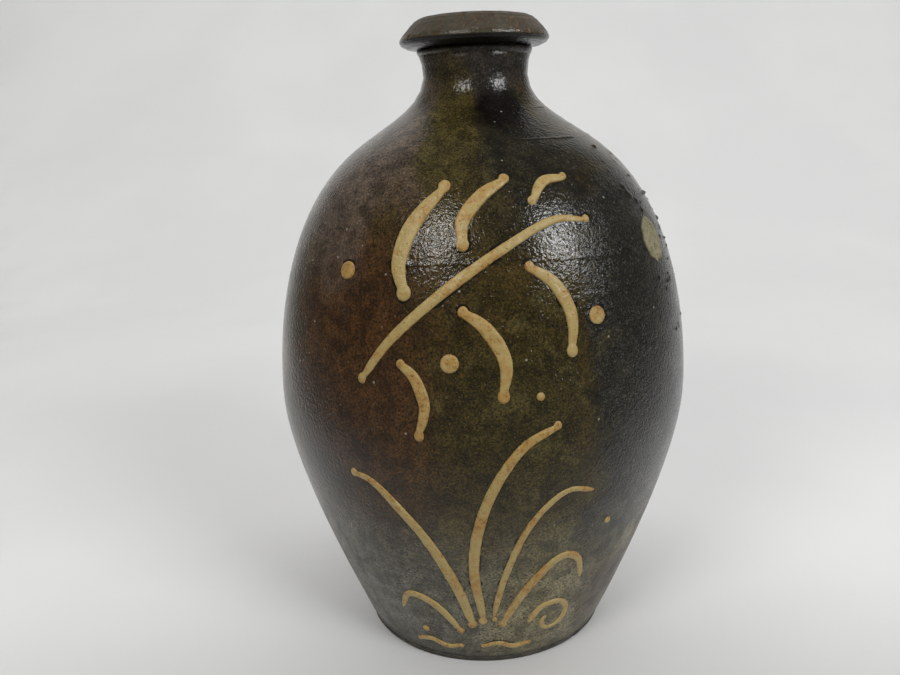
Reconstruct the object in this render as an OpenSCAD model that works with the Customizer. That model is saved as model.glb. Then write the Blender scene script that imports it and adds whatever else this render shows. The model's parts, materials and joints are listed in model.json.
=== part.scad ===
// Glazed stoneware sake bottle: a wheel-thrown body with a narrow neck and a folded lip,
// a glaze coat outside and in, kiln marks, and raised lines of trailed slip on the front.
// Millimetres, +Z up, origin at the middle of the foot, decorated side towards -Y.

/* [Body] */
// Radius of the foot, over the glaze
foot_r = 40.5; // [34:0.5:50]
// Widest radius of the belly, over the glaze
belly_r = 66; // [54:0.5:80]
// Height of the foot's upright bare edge
foot_band = 2; // [1:0.1:3.5]
// Height of the widest place
belly_z = 84; // [68:1:102]
// Height of the shoulder, where the neck's hollow curve starts
shoulder_z = 161; // [134:1:194]
// Radius at that height
shoulder_r = 36; // [30:0.5:43]
// Slope of the wall at the foot, in degrees from upright
foot_lean = 23; // [18:1:28]
// Slope of the wall at the top of the shoulder, in degrees from upright
shoulder_lean = 56; // [46:1:64]
// Thickness of the clay wall
wall_t = 5.2; // [4:0.1:6.3]
// Thickness of the clay floor
floor_t = 7; // [5.5:0.1:9]

/* [Neck and lip] */
// Height from the shoulder to the narrowest place of the neck
neck_rise = 20; // [16:0.5:25]
// Narrowest radius of the neck, over the glaze
waist_r = 16.5; // [14.5:0.1:20]
// Height from the narrowest place to the underside of the lip
lip_drop = 7.6; // [6:0.1:9.5]
// Radius of the neck under the lip
seat_r = 17.2; // [17:0.1:20.6]
// Height of the lip, from its underside to its top
lip_h = 9.6; // [8:0.1:11.5]
// Widest radius of the lip
lip_r = 23.1; // [20.5:0.1:28]
// Radius where the lip's round face meets its flat top
crown_r = 16; // [15:0.1:17]
// Radius of the straight throat, which a stopper fits
throat_r = 11; // [9:0.1:12]
// Length of the straight throat
throat_h = 20; // [16:0.5:24]
// Radius of the round between the throat and the lip's top
mouth_round = 2; // [1.5:0.1:2.4]

/* [Glaze] */
// Thickness of the glaze on the body
glaze_t = 0.35; // [0.25:0.05:0.5]
// Thickness of the glaze on the lip
lip_glaze_t = 0.3; // [0.25:0.05:0.4]
// Thickness of the glaze inside
liner_t = 0.3; // [0.25:0.05:0.5]

/* [Slip lines] */
// Height of a slip line, as a share of its width
bead_rise = 0.46; // [0.4:0.01:0.55]
// Gap under a slip line, which keeps its flat facets out of the round wall
bead_gap = 0.025; // [0.02:0.005:0.05]
// Width of the larger berries
berry_w = 5.2; // [4:0.1:7]
// Width of the small seeds
seed_w = 2.6; // [2:0.1:3.5]

/* [Kiln marks] */
// Radius of the round scar on the right of the shoulder
scar_r = 6.5; // [4:0.5:9]
// Height that the scar stands above the glaze
scar_t = 0.5; // [0.3:0.1:0.8]
// Radius of the coarsest grit
grit_r = 1.1; // [0.8:0.1:1.5]

/* [Hidden] */
$fn = 96;
// Steps of one curve of the outline
steps = 12;

SPRAY = [
    "spray_stem", "spray_leaf_1", "spray_leaf_2", "spray_leaf_3", "spray_leaf_4", "spray_leaf_5",
    "spray_leaf_6"
];
REED = [
    "reed_blade_1", "reed_blade_2", "reed_blade_3", "reed_blade_4", "reed_blade_5", "reed_curl",
    "ripple_left", "ripple_right"
];

// Heights of the neck and lip
waist_z = shoulder_z + neck_rise;
seat_z = waist_z + lip_drop;
top_z = seat_z + lip_h;
throat_top_z = top_z - mouth_round;
throat_z = throat_top_z - throat_h;

// A point or a direction on a cubic curve with four control points
function curve_at(p, t) =
    pow(1 - t, 3) * p[0] + 3 * t * pow(1 - t, 2) * p[1] + 3 * t * t * (1 - t) * p[2] + pow(t, 3) * p[3];
function curve_way(p, t) =
    pow(1 - t, 2) * (p[1] - p[0]) + 2 * t * (1 - t) * (p[2] - p[1]) + t * t * (p[3] - p[2]);

// The point at place i along a chain of curves, moved d into the material on the left of the way up
function chain_at(chain, i, d) =
    let (
        k = min(floor(i / steps), len(chain) - 1),
        t = i / steps - k,
        way = curve_way(chain[k], t),
        p = curve_at(chain[k], t)
    )
    p + d * [-way.y, way.x] / norm(way);

// Straight curve between two points
function line_curve(a, b) = [a, a + (b - a) / 3, a + (b - a) * 2 / 3, b];

// The wall's outside above the foot's edge: foot to belly, belly to shoulder, shoulder to waist, waist to lip
function lean(angle) = [sin(angle), cos(angle)];
wall_chain = [
    [
        [foot_r, foot_band],
        [foot_r, foot_band] + belly_z * 0.2 * lean(foot_lean),
        [belly_r, belly_z * 0.74],
        [belly_r, belly_z]
    ],
    [
        [belly_r, belly_z],
        [belly_r, belly_z + (shoulder_z - belly_z) * 0.22],
        [shoulder_r, shoulder_z] - (shoulder_z - belly_z) * 0.42 * lean(-shoulder_lean),
        [shoulder_r, shoulder_z]
    ],
    [
        [shoulder_r, shoulder_z],
        [shoulder_r, shoulder_z] + neck_rise * 0.8 * lean(-shoulder_lean),
        [waist_r, waist_z - neck_rise * 0.42],
        [waist_r, waist_z]
    ],
    [
        [waist_r, waist_z],
        [waist_r, waist_z + lip_drop * 0.35],
        [seat_r, seat_z - lip_drop * 0.35],
        [seat_r, seat_z]
    ]
];
wall_end = len(wall_chain) * steps;
function wall_at(i, d) = chain_at(wall_chain, i, d);

// The lip's outside: underside, edge, round face, flat top, mouth
edge_z = seat_z + lip_h * 0.28;
under_p = [lip_r - lip_h * 0.12, seat_z + lip_h * 0.1];
under_way = (under_p - [seat_r, seat_z]) / norm(under_p - [seat_r, seat_z]);
crown_p = [crown_r, top_z - lip_h * 0.03];
flat_p = [throat_r + mouth_round, top_z];
flat_way = (flat_p - crown_p) / norm(flat_p - crown_p);
lip_chain = [
    line_curve([seat_r, seat_z], under_p),
    [under_p, under_p + lip_h * 0.07 * under_way, [lip_r, edge_z - lip_h * 0.1], [lip_r, edge_z]],
    [[lip_r, edge_z], [lip_r, edge_z + lip_h * 0.25], crown_p - lip_h * 0.38 * flat_way, crown_p],
    line_curve(crown_p, flat_p),
    [
        flat_p,
        flat_p + mouth_round * 0.5 * flat_way,
        [throat_r, throat_top_z + mouth_round * 0.45],
        [throat_r, throat_top_z]
    ]
];
lip_end = len(lip_chain) * steps;
function lip_at(i, d) = chain_at(lip_chain, i, d);

// Places along the wall where one section of clay was joined to the next
base_joint = 1;
belly_joint = 12;
crease_joint = 19;
neck_joint = 27;
// Place along the lip where the folded ring meets the neck's own tube
fold_joint = 3.5 * steps;
tube_r = lip_at(fold_joint, lip_glaze_t).x;
// Size of the foot's worn edge
foot_edge = 0.8;

// The clay's inside, and the last place on it below the throat
clay_in = glaze_t + wall_t;
inside_end = max([
    for (i = [base_joint:3 * steps])
        if (wall_at(i, clay_in).x > throat_r + 0.3 && wall_at(i, clay_in).y < throat_z - 0.3) i
]);
floor_r = wall_at(base_joint, clay_in).x - floor_t * 0.35;

// Whole places from a to b, with both ends even if they are not whole
function places(a, b) = concat([a], [for (i = [floor(a) + 1:ceil(b) - 1]) i], [b]);
function backwards(list) = [for (i = [len(list) - 1:-1:0]) list[i]];
function wall_points(a, b, d) = [for (i = places(a, b)) wall_at(i, d)];
function lip_points(a, b, d) = [for (i = places(a, b)) lip_at(i, d)];

// Ring of wall between two depths, from place a to place b
module wall_ring(a, b, outer_d, inner_d) {
    rotate_extrude() polygon(concat(wall_points(a, b, outer_d), backwards(wall_points(a, b, inner_d))));
}

// The bottle's whole outside as one solid, which cuts whatever sits on the glaze
module filled_outside() {
    rotate_extrude($fn = 720) polygon(concat(
        [[0, 0], [foot_r, 0]],
        wall_points(0, wall_end, 0),
        [[0, seat_z]]
    ));
}

module base_disc() {
    color("saddlebrown") rotate_extrude() polygon(concat(
        [[0, 0], [foot_r - foot_edge, 0], [foot_r, foot_edge], [foot_r, foot_band]],
        wall_points(0, base_joint, glaze_t),
        [wall_at(base_joint, clay_in), [floor_r, floor_t], [0, floor_t]]
    ));
}

module lower_wall() {
    color("sienna") wall_ring(base_joint, belly_joint, glaze_t, clay_in);
}

module upper_wall() {
    color("peru") wall_ring(belly_joint, crease_joint, glaze_t, clay_in);
}

module shoulder() {
    color("sienna") wall_ring(crease_joint, neck_joint, glaze_t, clay_in);
}

// The neck's tube runs up inside the folded ring to the top
module neck() {
    color("peru") rotate_extrude() polygon(concat(
        wall_points(neck_joint, wall_end, glaze_t),
        [[tube_r, seat_z]],
        lip_points(fold_joint, lip_end, lip_glaze_t),
        [[throat_r, throat_top_z], [throat_r, throat_z]],
        backwards(wall_points(neck_joint, inside_end, clay_in))
    ));
}

module lip_ring() {
    color("sienna") rotate_extrude() polygon(concat(
        [[tube_r, seat_z], [seat_r, seat_z]],
        lip_points(0, fold_joint, lip_glaze_t)
    ));
}

module outer_glaze() {
    color([0.2, 0.15, 0.1]) wall_ring(0, wall_end, 0, glaze_t);
}

module lip_glaze() {
    color([0.33, 0.29, 0.22]) rotate_extrude() polygon(concat(
        lip_points(0, lip_end, 0),
        backwards(lip_points(0, lip_end, lip_glaze_t))
    ));
}

module inner_glaze() {
    color([0.3, 0.2, 0.12]) rotate_extrude() polygon(concat(
        [[0, floor_t], [floor_r, floor_t]],
        wall_points(base_joint, inside_end, clay_in),
        backwards(wall_points(base_joint, inside_end, clay_in + liner_t)),
        [[floor_r - liner_t, floor_t + liner_t], [0, floor_t + liner_t]]
    ));
}

// The finished outside as a table of height and radius
outline = [for (i = [0:wall_end]) let (p = wall_at(i, 0)) [p.y, p.x]];
function outside_r(z) = lookup(z, outline);
function unit(v) = v / norm(v);

// A place on the outside: degrees round from the front, and height as a share of the shoulder's
function on_wall(a, share) =
    let (z = share / 100 * shoulder_z, r = outside_r(z))
    [r * sin(a), -r * cos(a), z];
// The way out of the wall there
function out_of_wall(a, share) =
    let (z = share / 100 * shoulder_z, slope = outside_r(z + 1) - outside_r(z - 1))
    unit([sin(a), -cos(a), -slope / 2]);

// Smooth route through places [degrees, height share, width], with n steps between two
function route_at(p, i, n) =
    let (
        k = min(floor(i / n), len(p) - 2),
        t = i / n - k,
        b = p[k],
        c = p[k + 1],
        a = k > 0 ? p[k - 1] : 2 * b - c,
        d = k < len(p) - 2 ? p[k + 2] : 2 * c - b
    )
    b + t / 2 * (c - a) + t * t * (a - 2.5 * b + 2 * c - d / 2) + t * t * t * (1.5 * (b - c) + (d - a) / 2);

// How full the line is at step i of last: its ends are round
function fullness(i, last) =
    let (from_end = min(i, last - i))
    from_end == 0 ? 0.4 : from_end == 1 ? 0.85 : 1;

// The place on the wall, clear of it by the gap, that lies under a point
function wall_under(p) =
    let (a = atan2(p.x, -p.y), r = outside_r(p.z) + bead_gap)
    [r * sin(a), -r * cos(a), p.z];

// One ring of a line: a half-round dome over the wall, and its underside, which follows the wall
dome_angles = [36, 72, 108, 144];
under_shares = [1 / 3, -1 / 3];
function bead_ring(p, side, out, w) = concat(
    [wall_under(p + w / 2 * side)],
    [for (a = dome_angles) p + cos(a) * w / 2 * side + sin(a) * w * bead_rise * out],
    [wall_under(p - w / 2 * side)],
    [for (share = backwards(under_shares)) wall_under(p + share * w / 2 * side)]
);

// The two triangles between side j and side k of a ring that starts at point a, and the next ring
function band_faces(a, j, k, m) = [[a + j, a + m + j, a + m + k], [a + j, a + m + k, a + k]];

// A line of trailed slip along a route, with n rings between two of its places
module slip_line(route, n = 6) {
    last = (len(route) - 1) * n;
    rings = [
        for (i = [0:last])
            let (
                here = route_at(route, i, n),
                before = route_at(route, max(i - 1, 0), n),
                after = route_at(route, min(i + 1, last), n),
                out = out_of_wall(here[0], here[1]),
                along = unit(on_wall(after[0], after[1]) - on_wall(before[0], before[1]))
            )
            bead_ring(on_wall(here[0], here[1]), unit(cross(along, out)), out, here[2] * fullness(i, last))
    ];
    m = len(rings[0]);
    polyhedron(
        points = [for (ring = rings) each ring],
        faces = concat(
            [[for (j = [0:m - 1]) j]],
            [for (i = [0:last - 1]) for (j = [0:m - 1]) each band_faces(i * m, j, (j + 1) % m, m)],
            [[for (j = [m - 1:-1:0]) last * m + j]]
        )
    );
}

// A drop of slip: the cap of a ball that reaches w across the wall
module slip_drop(a, share, w) {
    rise = w * bead_rise;
    ball_r = (w * w / 4 + rise * rise) / (2 * rise);
    difference() {
        translate(on_wall(a, share) - (ball_r - rise) * out_of_wall(a, share)) sphere(r = ball_r);
        filled_outside();
    }
}

// Routes of the upper spray: a long stem and six leaves
spray_routes = [
    [[-31, 62, 2.4], [-22, 70, 3.0], [-8, 78, 3.4], [7, 84, 3.0], [21, 87.5, 2.6], [33, 87, 1.8]],
    [[-19, 76, 2.4], [-22, 81.5, 4.6], [-19, 88, 5.0], [-10, 94, 2.6]],
    [[-4.5, 83.5, 2.2], [-5, 88, 4.2], [1, 92, 4.2], [10, 94.5, 2.2]],
    [[-6, 74.5, 2.2], [0.5, 71.5, 4.0], [5, 66, 4.0], [4, 59.5, 2.0]],
    [[11, 81, 2.2], [18, 78, 3.8], [22, 72.5, 3.8], [21, 66, 2.0]],
    [[15.5, 90, 2.2], [21, 93.5, 3.4], [31, 94, 2.2]],
    [[-21, 66, 2.0], [-16.5, 63.5, 3.4], [-14, 58.5, 3.4], [-16, 53, 1.8]]
];
// Routes of the lower reeds: five blades from one foot, a curl, and two ripples below
reed_routes = [
    [[-5.5, 11, 2.8], [-9.5, 21, 3.6], [-17, 33, 3.4], [-28, 43, 2.8], [-36, 45, 1.8]],
    [[-1.5, 12, 2.6], [-4, 27, 3.4], [0, 41, 3.4], [8, 51, 3.0], [18, 55, 2.2]],
    [[5, 11, 2.6], [12, 20, 3.2], [21, 27, 3.0], [28, 26, 2.6], [32, 20, 1.8]],
    [[-10, 9, 2.4], [-18, 16, 3.0], [-27, 18, 2.8], [-33, 13, 1.8]],
    [[1.8, 13, 2.0], [5.5, 25, 2.4], [11.5, 36, 2.4], [20, 42, 2.2], [29, 41, 1.8]],
    [
        for (turn = [0:8])
            let (a = turn * 50, reach = 9 - turn * 0.8)
            [24 - reach * cos(a), 11 + reach * 0.6 * sin(a), 2.6 - turn * 0.1]
    ],
    [[-31, 4.6, 1.8], [-24, 5.6, 2.4], [-17, 4.3, 2.4], [-10, 5.2, 1.8]],
    [[-3, 4.8, 1.8], [4, 5.8, 2.4], [11, 4.5, 2.4], [18, 5.2, 1.8]]
];

module spray(i) {
    color([0.8, 0.65, 0.4]) slip_line(spray_routes[i]);
}

module reed(i) {
    color([0.8, 0.65, 0.4]) slip_line(reed_routes[i]);
}

module berry_left() {
    color([0.75, 0.55, 0.3]) slip_drop(-38, 80, berry_w);
}

module berry_middle() {
    color([0.75, 0.55, 0.3]) slip_drop(-8, 66, berry_w);
}

module berry_right() {
    color([0.75, 0.55, 0.3]) slip_drop(29, 72, berry_w);
}

module seeds() {
    for (place = [[-25, 8.5], [36, 33], [13, 60]])
        color([0.75, 0.55, 0.3]) slip_drop(place[0], place[1], seed_w);
}

// A round patch a little proud of the glaze, where something touched the bottle in the kiln
scar_a = 60;
scar_share = 82;
module kiln_scar() {
    out = out_of_wall(scar_a, scar_share);
    color("tan") difference() {
        translate(on_wall(scar_a, scar_share)) rotate([0, acos(out.z), scar_a - 90]) {
            translate([0, 0, -scar_t * 2]) cylinder(r = scar_r, h = scar_t * 3);
        }
        filled_outside();
    }
}

// Crumbs from the kiln's roof on the right of the shoulder: degrees, height share, size share
grit_places = [
    for (k = [0:11])
        [64 + 26 * abs(sin(k * 97)), 74 + 1.7 * k, 0.5 + 0.5 * abs(cos(k * 61))]
];
module kiln_grit() {
    for (g = grit_places)
        color("dimgray") difference() {
            translate(on_wall(g[0], g[1])) sphere(r = grit_r * g[2]);
            filled_outside();
        }
}

base_disc();
lower_wall();
upper_wall();
shoulder();
neck();
lip_ring();
outer_glaze();
lip_glaze();
inner_glaze();
kiln_scar();
kiln_grit();
berry_left();
berry_middle();
berry_right();
seeds();
for (i = [0:len(SPRAY) - 1]) spray(i);
for (i = [0:len(REED) - 1]) reed(i);
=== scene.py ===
"""Looks of a glazed stoneware sake bottle, in metres, built round its CAD frame.

The bottle stands on its foot at the origin with its decorated side towards -Y. Every shape is turned,
remeshed or laid on from the frame's own nodes, so sizes and places follow the CAD. Angles called azimuth or
turn are degrees round from the front, growing to the right. Where a coat or a clay section is shaped, its
heights, radii and lifts are millimetres.
"""

import json
import logging
import math
from dataclasses import dataclass, field, replace
from enum import Enum

import bmesh
import bpy
import numpy as np
from mathutils import Matrix, Vector
from mathutils.kdtree import KDTree


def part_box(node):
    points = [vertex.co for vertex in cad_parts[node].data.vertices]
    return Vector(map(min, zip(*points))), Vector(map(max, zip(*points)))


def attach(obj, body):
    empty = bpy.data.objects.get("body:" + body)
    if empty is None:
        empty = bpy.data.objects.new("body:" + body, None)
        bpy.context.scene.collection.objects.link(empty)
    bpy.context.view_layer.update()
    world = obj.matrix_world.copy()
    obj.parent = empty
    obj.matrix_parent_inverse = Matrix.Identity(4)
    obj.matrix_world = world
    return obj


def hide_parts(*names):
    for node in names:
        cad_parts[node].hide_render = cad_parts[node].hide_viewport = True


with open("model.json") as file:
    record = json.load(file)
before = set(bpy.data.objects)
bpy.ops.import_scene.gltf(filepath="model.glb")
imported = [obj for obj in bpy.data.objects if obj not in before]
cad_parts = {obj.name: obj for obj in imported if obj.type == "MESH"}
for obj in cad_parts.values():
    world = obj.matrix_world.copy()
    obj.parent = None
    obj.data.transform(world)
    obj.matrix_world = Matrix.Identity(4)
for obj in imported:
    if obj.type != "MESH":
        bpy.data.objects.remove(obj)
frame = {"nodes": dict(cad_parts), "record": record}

log = logging.getLogger("sake_bottle")
MM = 0.001
Colour = tuple[float, float, float]
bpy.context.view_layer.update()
BODY = "root"


class Slot(Enum):
    """Material slots of the frame's record."""

    CLAY = "clay"
    BODY_GLAZE = "body_glaze"
    LIP_GLAZE = "lip_glaze"
    LINER_GLAZE = "liner_glaze"
    SLIP = "slip"
    SCAR = "scar"
    GRIT = "grit"


class Side(Enum):
    """Which way a turned face looks."""

    OUT = 1
    IN = -1


# ---------------------------------------------------------------------------------------------- small tools


def smoothstep(low: float, high: float, value: np.ndarray) -> np.ndarray:
    """Soft step.

    Args:
        low: value where the step starts.
        high: value where it ends.
        value: numbers to judge.

    Returns:
        0 below low, 1 above high, with a smooth rise between them.
    """
    t = np.clip((value - low) / (high - low), 0.0, 1.0)
    return t * t * (3.0 - 2.0 * t)


def azimuth_of(points: np.ndarray) -> np.ndarray:
    """Degrees round from the front of each point, growing to the right."""
    return np.degrees(np.arctan2(points[:, 0], -points[:, 1]))


def radius_of(points: np.ndarray) -> np.ndarray:
    """Distance of each point from the bottle's axis."""
    return np.hypot(points[:, 0], points[:, 1])


def angle_between(a: np.ndarray, b: float) -> np.ndarray:
    """Signed degrees from azimuth b to azimuths a, the short way round."""
    return (a - b + 180.0) % 360.0 - 180.0


def read_points(mesh: bpy.types.Mesh) -> np.ndarray:
    """Corner points of a mesh.

    Args:
        mesh: the mesh.

    Returns:
        Their places, one row each.
    """
    flat = np.empty(len(mesh.vertices) * 3, np.float32)
    mesh.vertices.foreach_get("co", flat)
    return flat.reshape(-1, 3).astype(float)


def write_points(mesh: bpy.types.Mesh, points: np.ndarray) -> None:
    """Moves a mesh's corner points to new places."""
    mesh.vertices.foreach_set("co", points.astype(np.float32).ravel())
    mesh.update()


@dataclass(frozen=True)
class Grain:
    """Seeded smooth noise in space, between -1 and 1."""

    seed: int

    def _corner(self, cell: np.ndarray) -> np.ndarray:
        """Scrambled value of each whole-numbered corner.

        Args:
            cell: corners, one row each.

        Returns:
            One value for each corner, between -1 and 1.
        """
        i, j, k = (cell[:, n].astype(np.int64) for n in range(3))
        h = (i * 73856093) ^ (j * 19349663) ^ (k * 83492791) ^ (self.seed * 2654435761)
        h &= 0xFFFFFFFF
        h ^= h >> 13
        h = (h * 1540483477) & 0xFFFFFFFF
        h ^= h >> 15
        h = (h * 2246822519) & 0xFFFFFFFF
        h ^= h >> 14
        return h / 2147483647.5 - 1.0

    def smooth(self, points: np.ndarray, size: float) -> np.ndarray:
        """One layer of noise.

        Args:
            points: places, one row each, in metres.
            size: distance between two neighbouring humps.

        Returns:
            One value for each place.
        """
        place = points / size
        low = np.floor(place)
        t = place - low
        t = t * t * t * (t * (t * 6.0 - 15.0) + 10.0)
        total = np.zeros(len(points))
        for corner in range(8):
            step = np.array([corner & 1, corner >> 1 & 1, corner >> 2 & 1])
            weight = np.prod(np.where(step, t, 1.0 - t), axis=1)
            total += weight * self._corner(low + step)
        return total

    def layered(self, points: np.ndarray, size: float, layers: int = 4, keep: float = 0.5) -> np.ndarray:
        """Noise of several sizes on top of each other.

        Args:
            points: places, one row each, in metres.
            size: size of the coarsest layer.
            layers: number of layers, each half the size of the one before.
            keep: strength of a layer, as a share of the one before.

        Returns:
            One value for each place, about -1 to 1.
        """
        total, strength, whole = np.zeros(len(points)), 1.0, 0.0
        for layer in range(layers):
            shifted = points + 0.37 * (layer + 1)
            total += strength * self.smooth(shifted, size / 2**layer)
            whole += strength
            strength *= keep
        return total / whole * 1.5


@dataclass(frozen=True)
class ThrowersHand:
    """The small lean and ovalness of a bottle thrown by hand, shared by every piece."""

    lean: float = 1.7 * MM
    bend: float = 0.6
    ovalness: float = 0.003
    height: float = 0.198

    def moved(self, points: np.ndarray) -> np.ndarray:
        """Places after the bottle has leaned and gone out of round.

        Args:
            points: places on the true round bottle, one row each.

        Returns:
            The same places on the bottle as thrown.
        """
        rise = np.clip(points[:, 2] / self.height, 0.0, 1.0)
        turn = np.radians(azimuth_of(points))
        swell = 1.0 + self.ovalness * rise * np.cos(2.0 * turn + 5.0 * rise)
        moved = points.copy()
        moved[:, 0] = points[:, 0] * swell + self.lean * rise**self.bend
        moved[:, 1] = points[:, 1] * swell
        return moved


HAND = ThrowersHand()


def dress(
    mesh: bpy.types.Mesh, name: str, slot: Slot, nodes: list[str], *materials: bpy.types.Material
) -> bpy.types.Object:
    """Puts a finished mesh into the scene as a piece that rides on the bottle.

    Args:
        mesh: the mesh, in place.
        name: name of the piece.
        slot: the piece's record slot; not used.
        nodes: frame nodes that it stands for.
        *materials: its finishes, in the order of its faces' material numbers.

    Returns:
        The new piece.
    """
    for material in materials:
        mesh.materials.append(material)
    piece = bpy.data.objects.new(name, mesh)
    bpy.context.scene.collection.objects.link(piece)
    mesh.polygons.foreach_set("use_smooth", [True] * len(mesh.polygons))
    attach(piece, BODY)
    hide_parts(*nodes)
    log.info("%s: %d faces", name, len(mesh.polygons))
    return piece


def paint(mesh: bpy.types.Mesh, **values: np.ndarray) -> None:
    """Writes named values onto the points of a mesh.

    Args:
        mesh: the mesh.
        **values: for each name, a number or a colour for each point.
    """
    for name, value in values.items():
        if value.ndim == 2:
            full = np.ones((len(value), 4), np.float32)
            full[:, :3] = value
            mesh.attributes.new(name, "FLOAT_COLOR", "POINT").data.foreach_set("color", full.ravel())
        else:
            mesh.attributes.new(name, "FLOAT", "POINT").data.foreach_set("value", value.astype(np.float32))


# ------------------------------------------------------------------------------------------- turned shapes


@dataclass
class Outline:
    """Closed loop of (radius, height) that a turned node of the frame follows, anticlockwise."""

    points: np.ndarray
    reaches_axis: bool

    MERGE = 0.012 * MM
    ON_LINE = 0.004 * MM
    GRID = 0.002 * MM

    @classmethod
    def of_node(cls, node: str) -> "Outline":
        """Reads a node's outline back from its mesh.

        Args:
            node: name of a frame node that is turned about the bottle's axis.

        Returns:
            Its outline.
        """
        mesh = frame["nodes"][node].data
        co = read_points(mesh)
        raw = np.c_[radius_of(co), co[:, 2]]
        keys, which = np.unique(np.round(raw / cls.GRID).astype(int), axis=0, return_inverse=True)
        places = keys * cls.GRID
        label = np.arange(len(places))
        for n in range(len(places)):
            same = np.hypot(*(places - places[n]).T) < cls.MERGE
            label[same] = label[same].min()
        which = label[which.ravel()]
        edges = np.empty(len(mesh.edges) * 2, np.int32)
        mesh.edges.foreach_get("vertices", edges)
        pairs = np.sort(which[edges.reshape(-1, 2)], axis=1)
        pairs = np.unique(pairs[pairs[:, 0] != pairs[:, 1]], axis=0)
        used = np.unique(pairs)
        kept = [(a, b) for a, b in pairs if not cls._passes(places, used, a, b)]
        return cls._walk(places, kept)

    @classmethod
    def _passes(cls, places: np.ndarray, used: np.ndarray, a: int, b: int) -> bool:
        """Whether a straight line runs over another point of the outline.

        Args:
            places: all points.
            used: numbers of the points that edges meet at.
            a: number of the point at one end.
            b: number of the point at the other end.

        Returns:
            True if a third point lies on the line between its ends.
        """
        way = places[b] - places[a]
        length = np.hypot(*way)
        rest = places[used] - places[a]
        along = rest @ way / length
        off = np.abs(rest[:, 0] * way[1] - rest[:, 1] * way[0]) / length
        return bool(np.any((along > cls.MERGE) & (along < length - cls.MERGE) & (off < cls.ON_LINE)))

    @classmethod
    def _walk(cls, places: np.ndarray, pairs: list[tuple[int, int]]) -> "Outline":
        """Strings pairs of neighbouring points into one loop.

        Args:
            places: all points.
            pairs: numbers of neighbouring points.

        Returns:
            The outline, closed over the axis where its ends lie there.
        """
        beside: dict[int, list[int]] = {}
        for a, b in pairs:
            beside.setdefault(a, []).append(b)
            beside.setdefault(b, []).append(a)
        ends = [n for n, others in beside.items() if len(others) == 1]
        here = ends[0] if ends else next(iter(beside))
        chain, before = [here], -1
        while True:
            closing = chain[0] if len(chain) > 2 else None
            onward = [n for n in beside[here] if n != before and (n not in chain or n == closing)]
            if not onward or onward[0] == chain[0]:
                break
            before, here = here, onward[0]
            chain.append(here)
        points = places[chain]
        if ends:
            points = np.vstack([[0.0, points[0, 1]], points, [0.0, points[-1, 1]]])
        r, z = points.T
        area = np.sum(r * np.roll(z, -1) - np.roll(r, -1) * z)
        return cls(points if area > 0 else points[::-1], bool(ends))

    def runs(self, corner: float = 28.0) -> list[np.ndarray]:
        """Smooth stretches of the outline.

        Args:
            corner: turn, in degrees, that counts as a corner.

        Returns:
            One list of points for each stretch, each starting where the last one ends.
        """
        way = np.roll(self.points, -1, 0) - self.points
        heading = np.arctan2(way[:, 1], way[:, 0])
        turn = np.degrees((heading - np.roll(heading, 1) + math.pi) % (2 * math.pi) - math.pi)
        on_axis = self.reaches_axis & (self.points[:, 0] < MM / 9)
        at = [n for n in range(len(turn)) if abs(turn[n]) > corner or on_axis[n]]
        if not at:
            return [np.vstack([self.points, self.points[:1]])]
        made = []
        for start, stop in zip(at, at[1:] + [at[0] + len(turn)]):
            index = [n % len(turn) for n in range(start, stop + 1)]
            keep = [n for m, n in enumerate(index) if m in (0, len(index) - 1) or abs(turn[n]) > 0.3]
            made.append(self.points[keep])
        if self.reaches_axis:
            made = [run for run in made if run[:, 0].max() > MM]
        return made


def resampled(run: np.ndarray, step: float) -> np.ndarray:
    """Even points along a smooth curve through given ones.

    Args:
        run: points in order.
        step: rough distance between two new points.

    Returns:
        The new points, with both ends kept.
    """
    gap = np.hypot(*np.diff(run, axis=0).T)
    slope = np.diff(run, axis=0) / gap[:, None]
    if len(run) > 2:
        inner = (slope[:-1] * gap[1:, None] + slope[1:] * gap[:-1, None]) / (gap[1:] + gap[:-1])[:, None]
        first, last = 1.5 * slope[0] - 0.5 * inner[0], 1.5 * slope[-1] - 0.5 * inner[-1]
        tangent = np.vstack([first, inner, last])
    else:
        tangent = np.vstack([slope[0], slope[0]])
    where = np.concatenate([[0.0], np.cumsum(gap)])
    s = np.linspace(0.0, where[-1], max(2, int(round(where[-1] / step)) + 1))
    k = np.clip(np.searchsorted(where, s, side="right") - 1, 0, len(gap) - 1)
    h = gap[k][:, None]
    t = ((s - where[k]) / gap[k])[:, None]
    return (
        run[k] * (2 * t**3 - 3 * t**2 + 1)
        + tangent[k] * h * (t**3 - 2 * t**2 + t)
        + run[k + 1] * (3 * t**2 - 2 * t**3)
        + tangent[k + 1] * h * (t**3 - t**2)
    )


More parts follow.
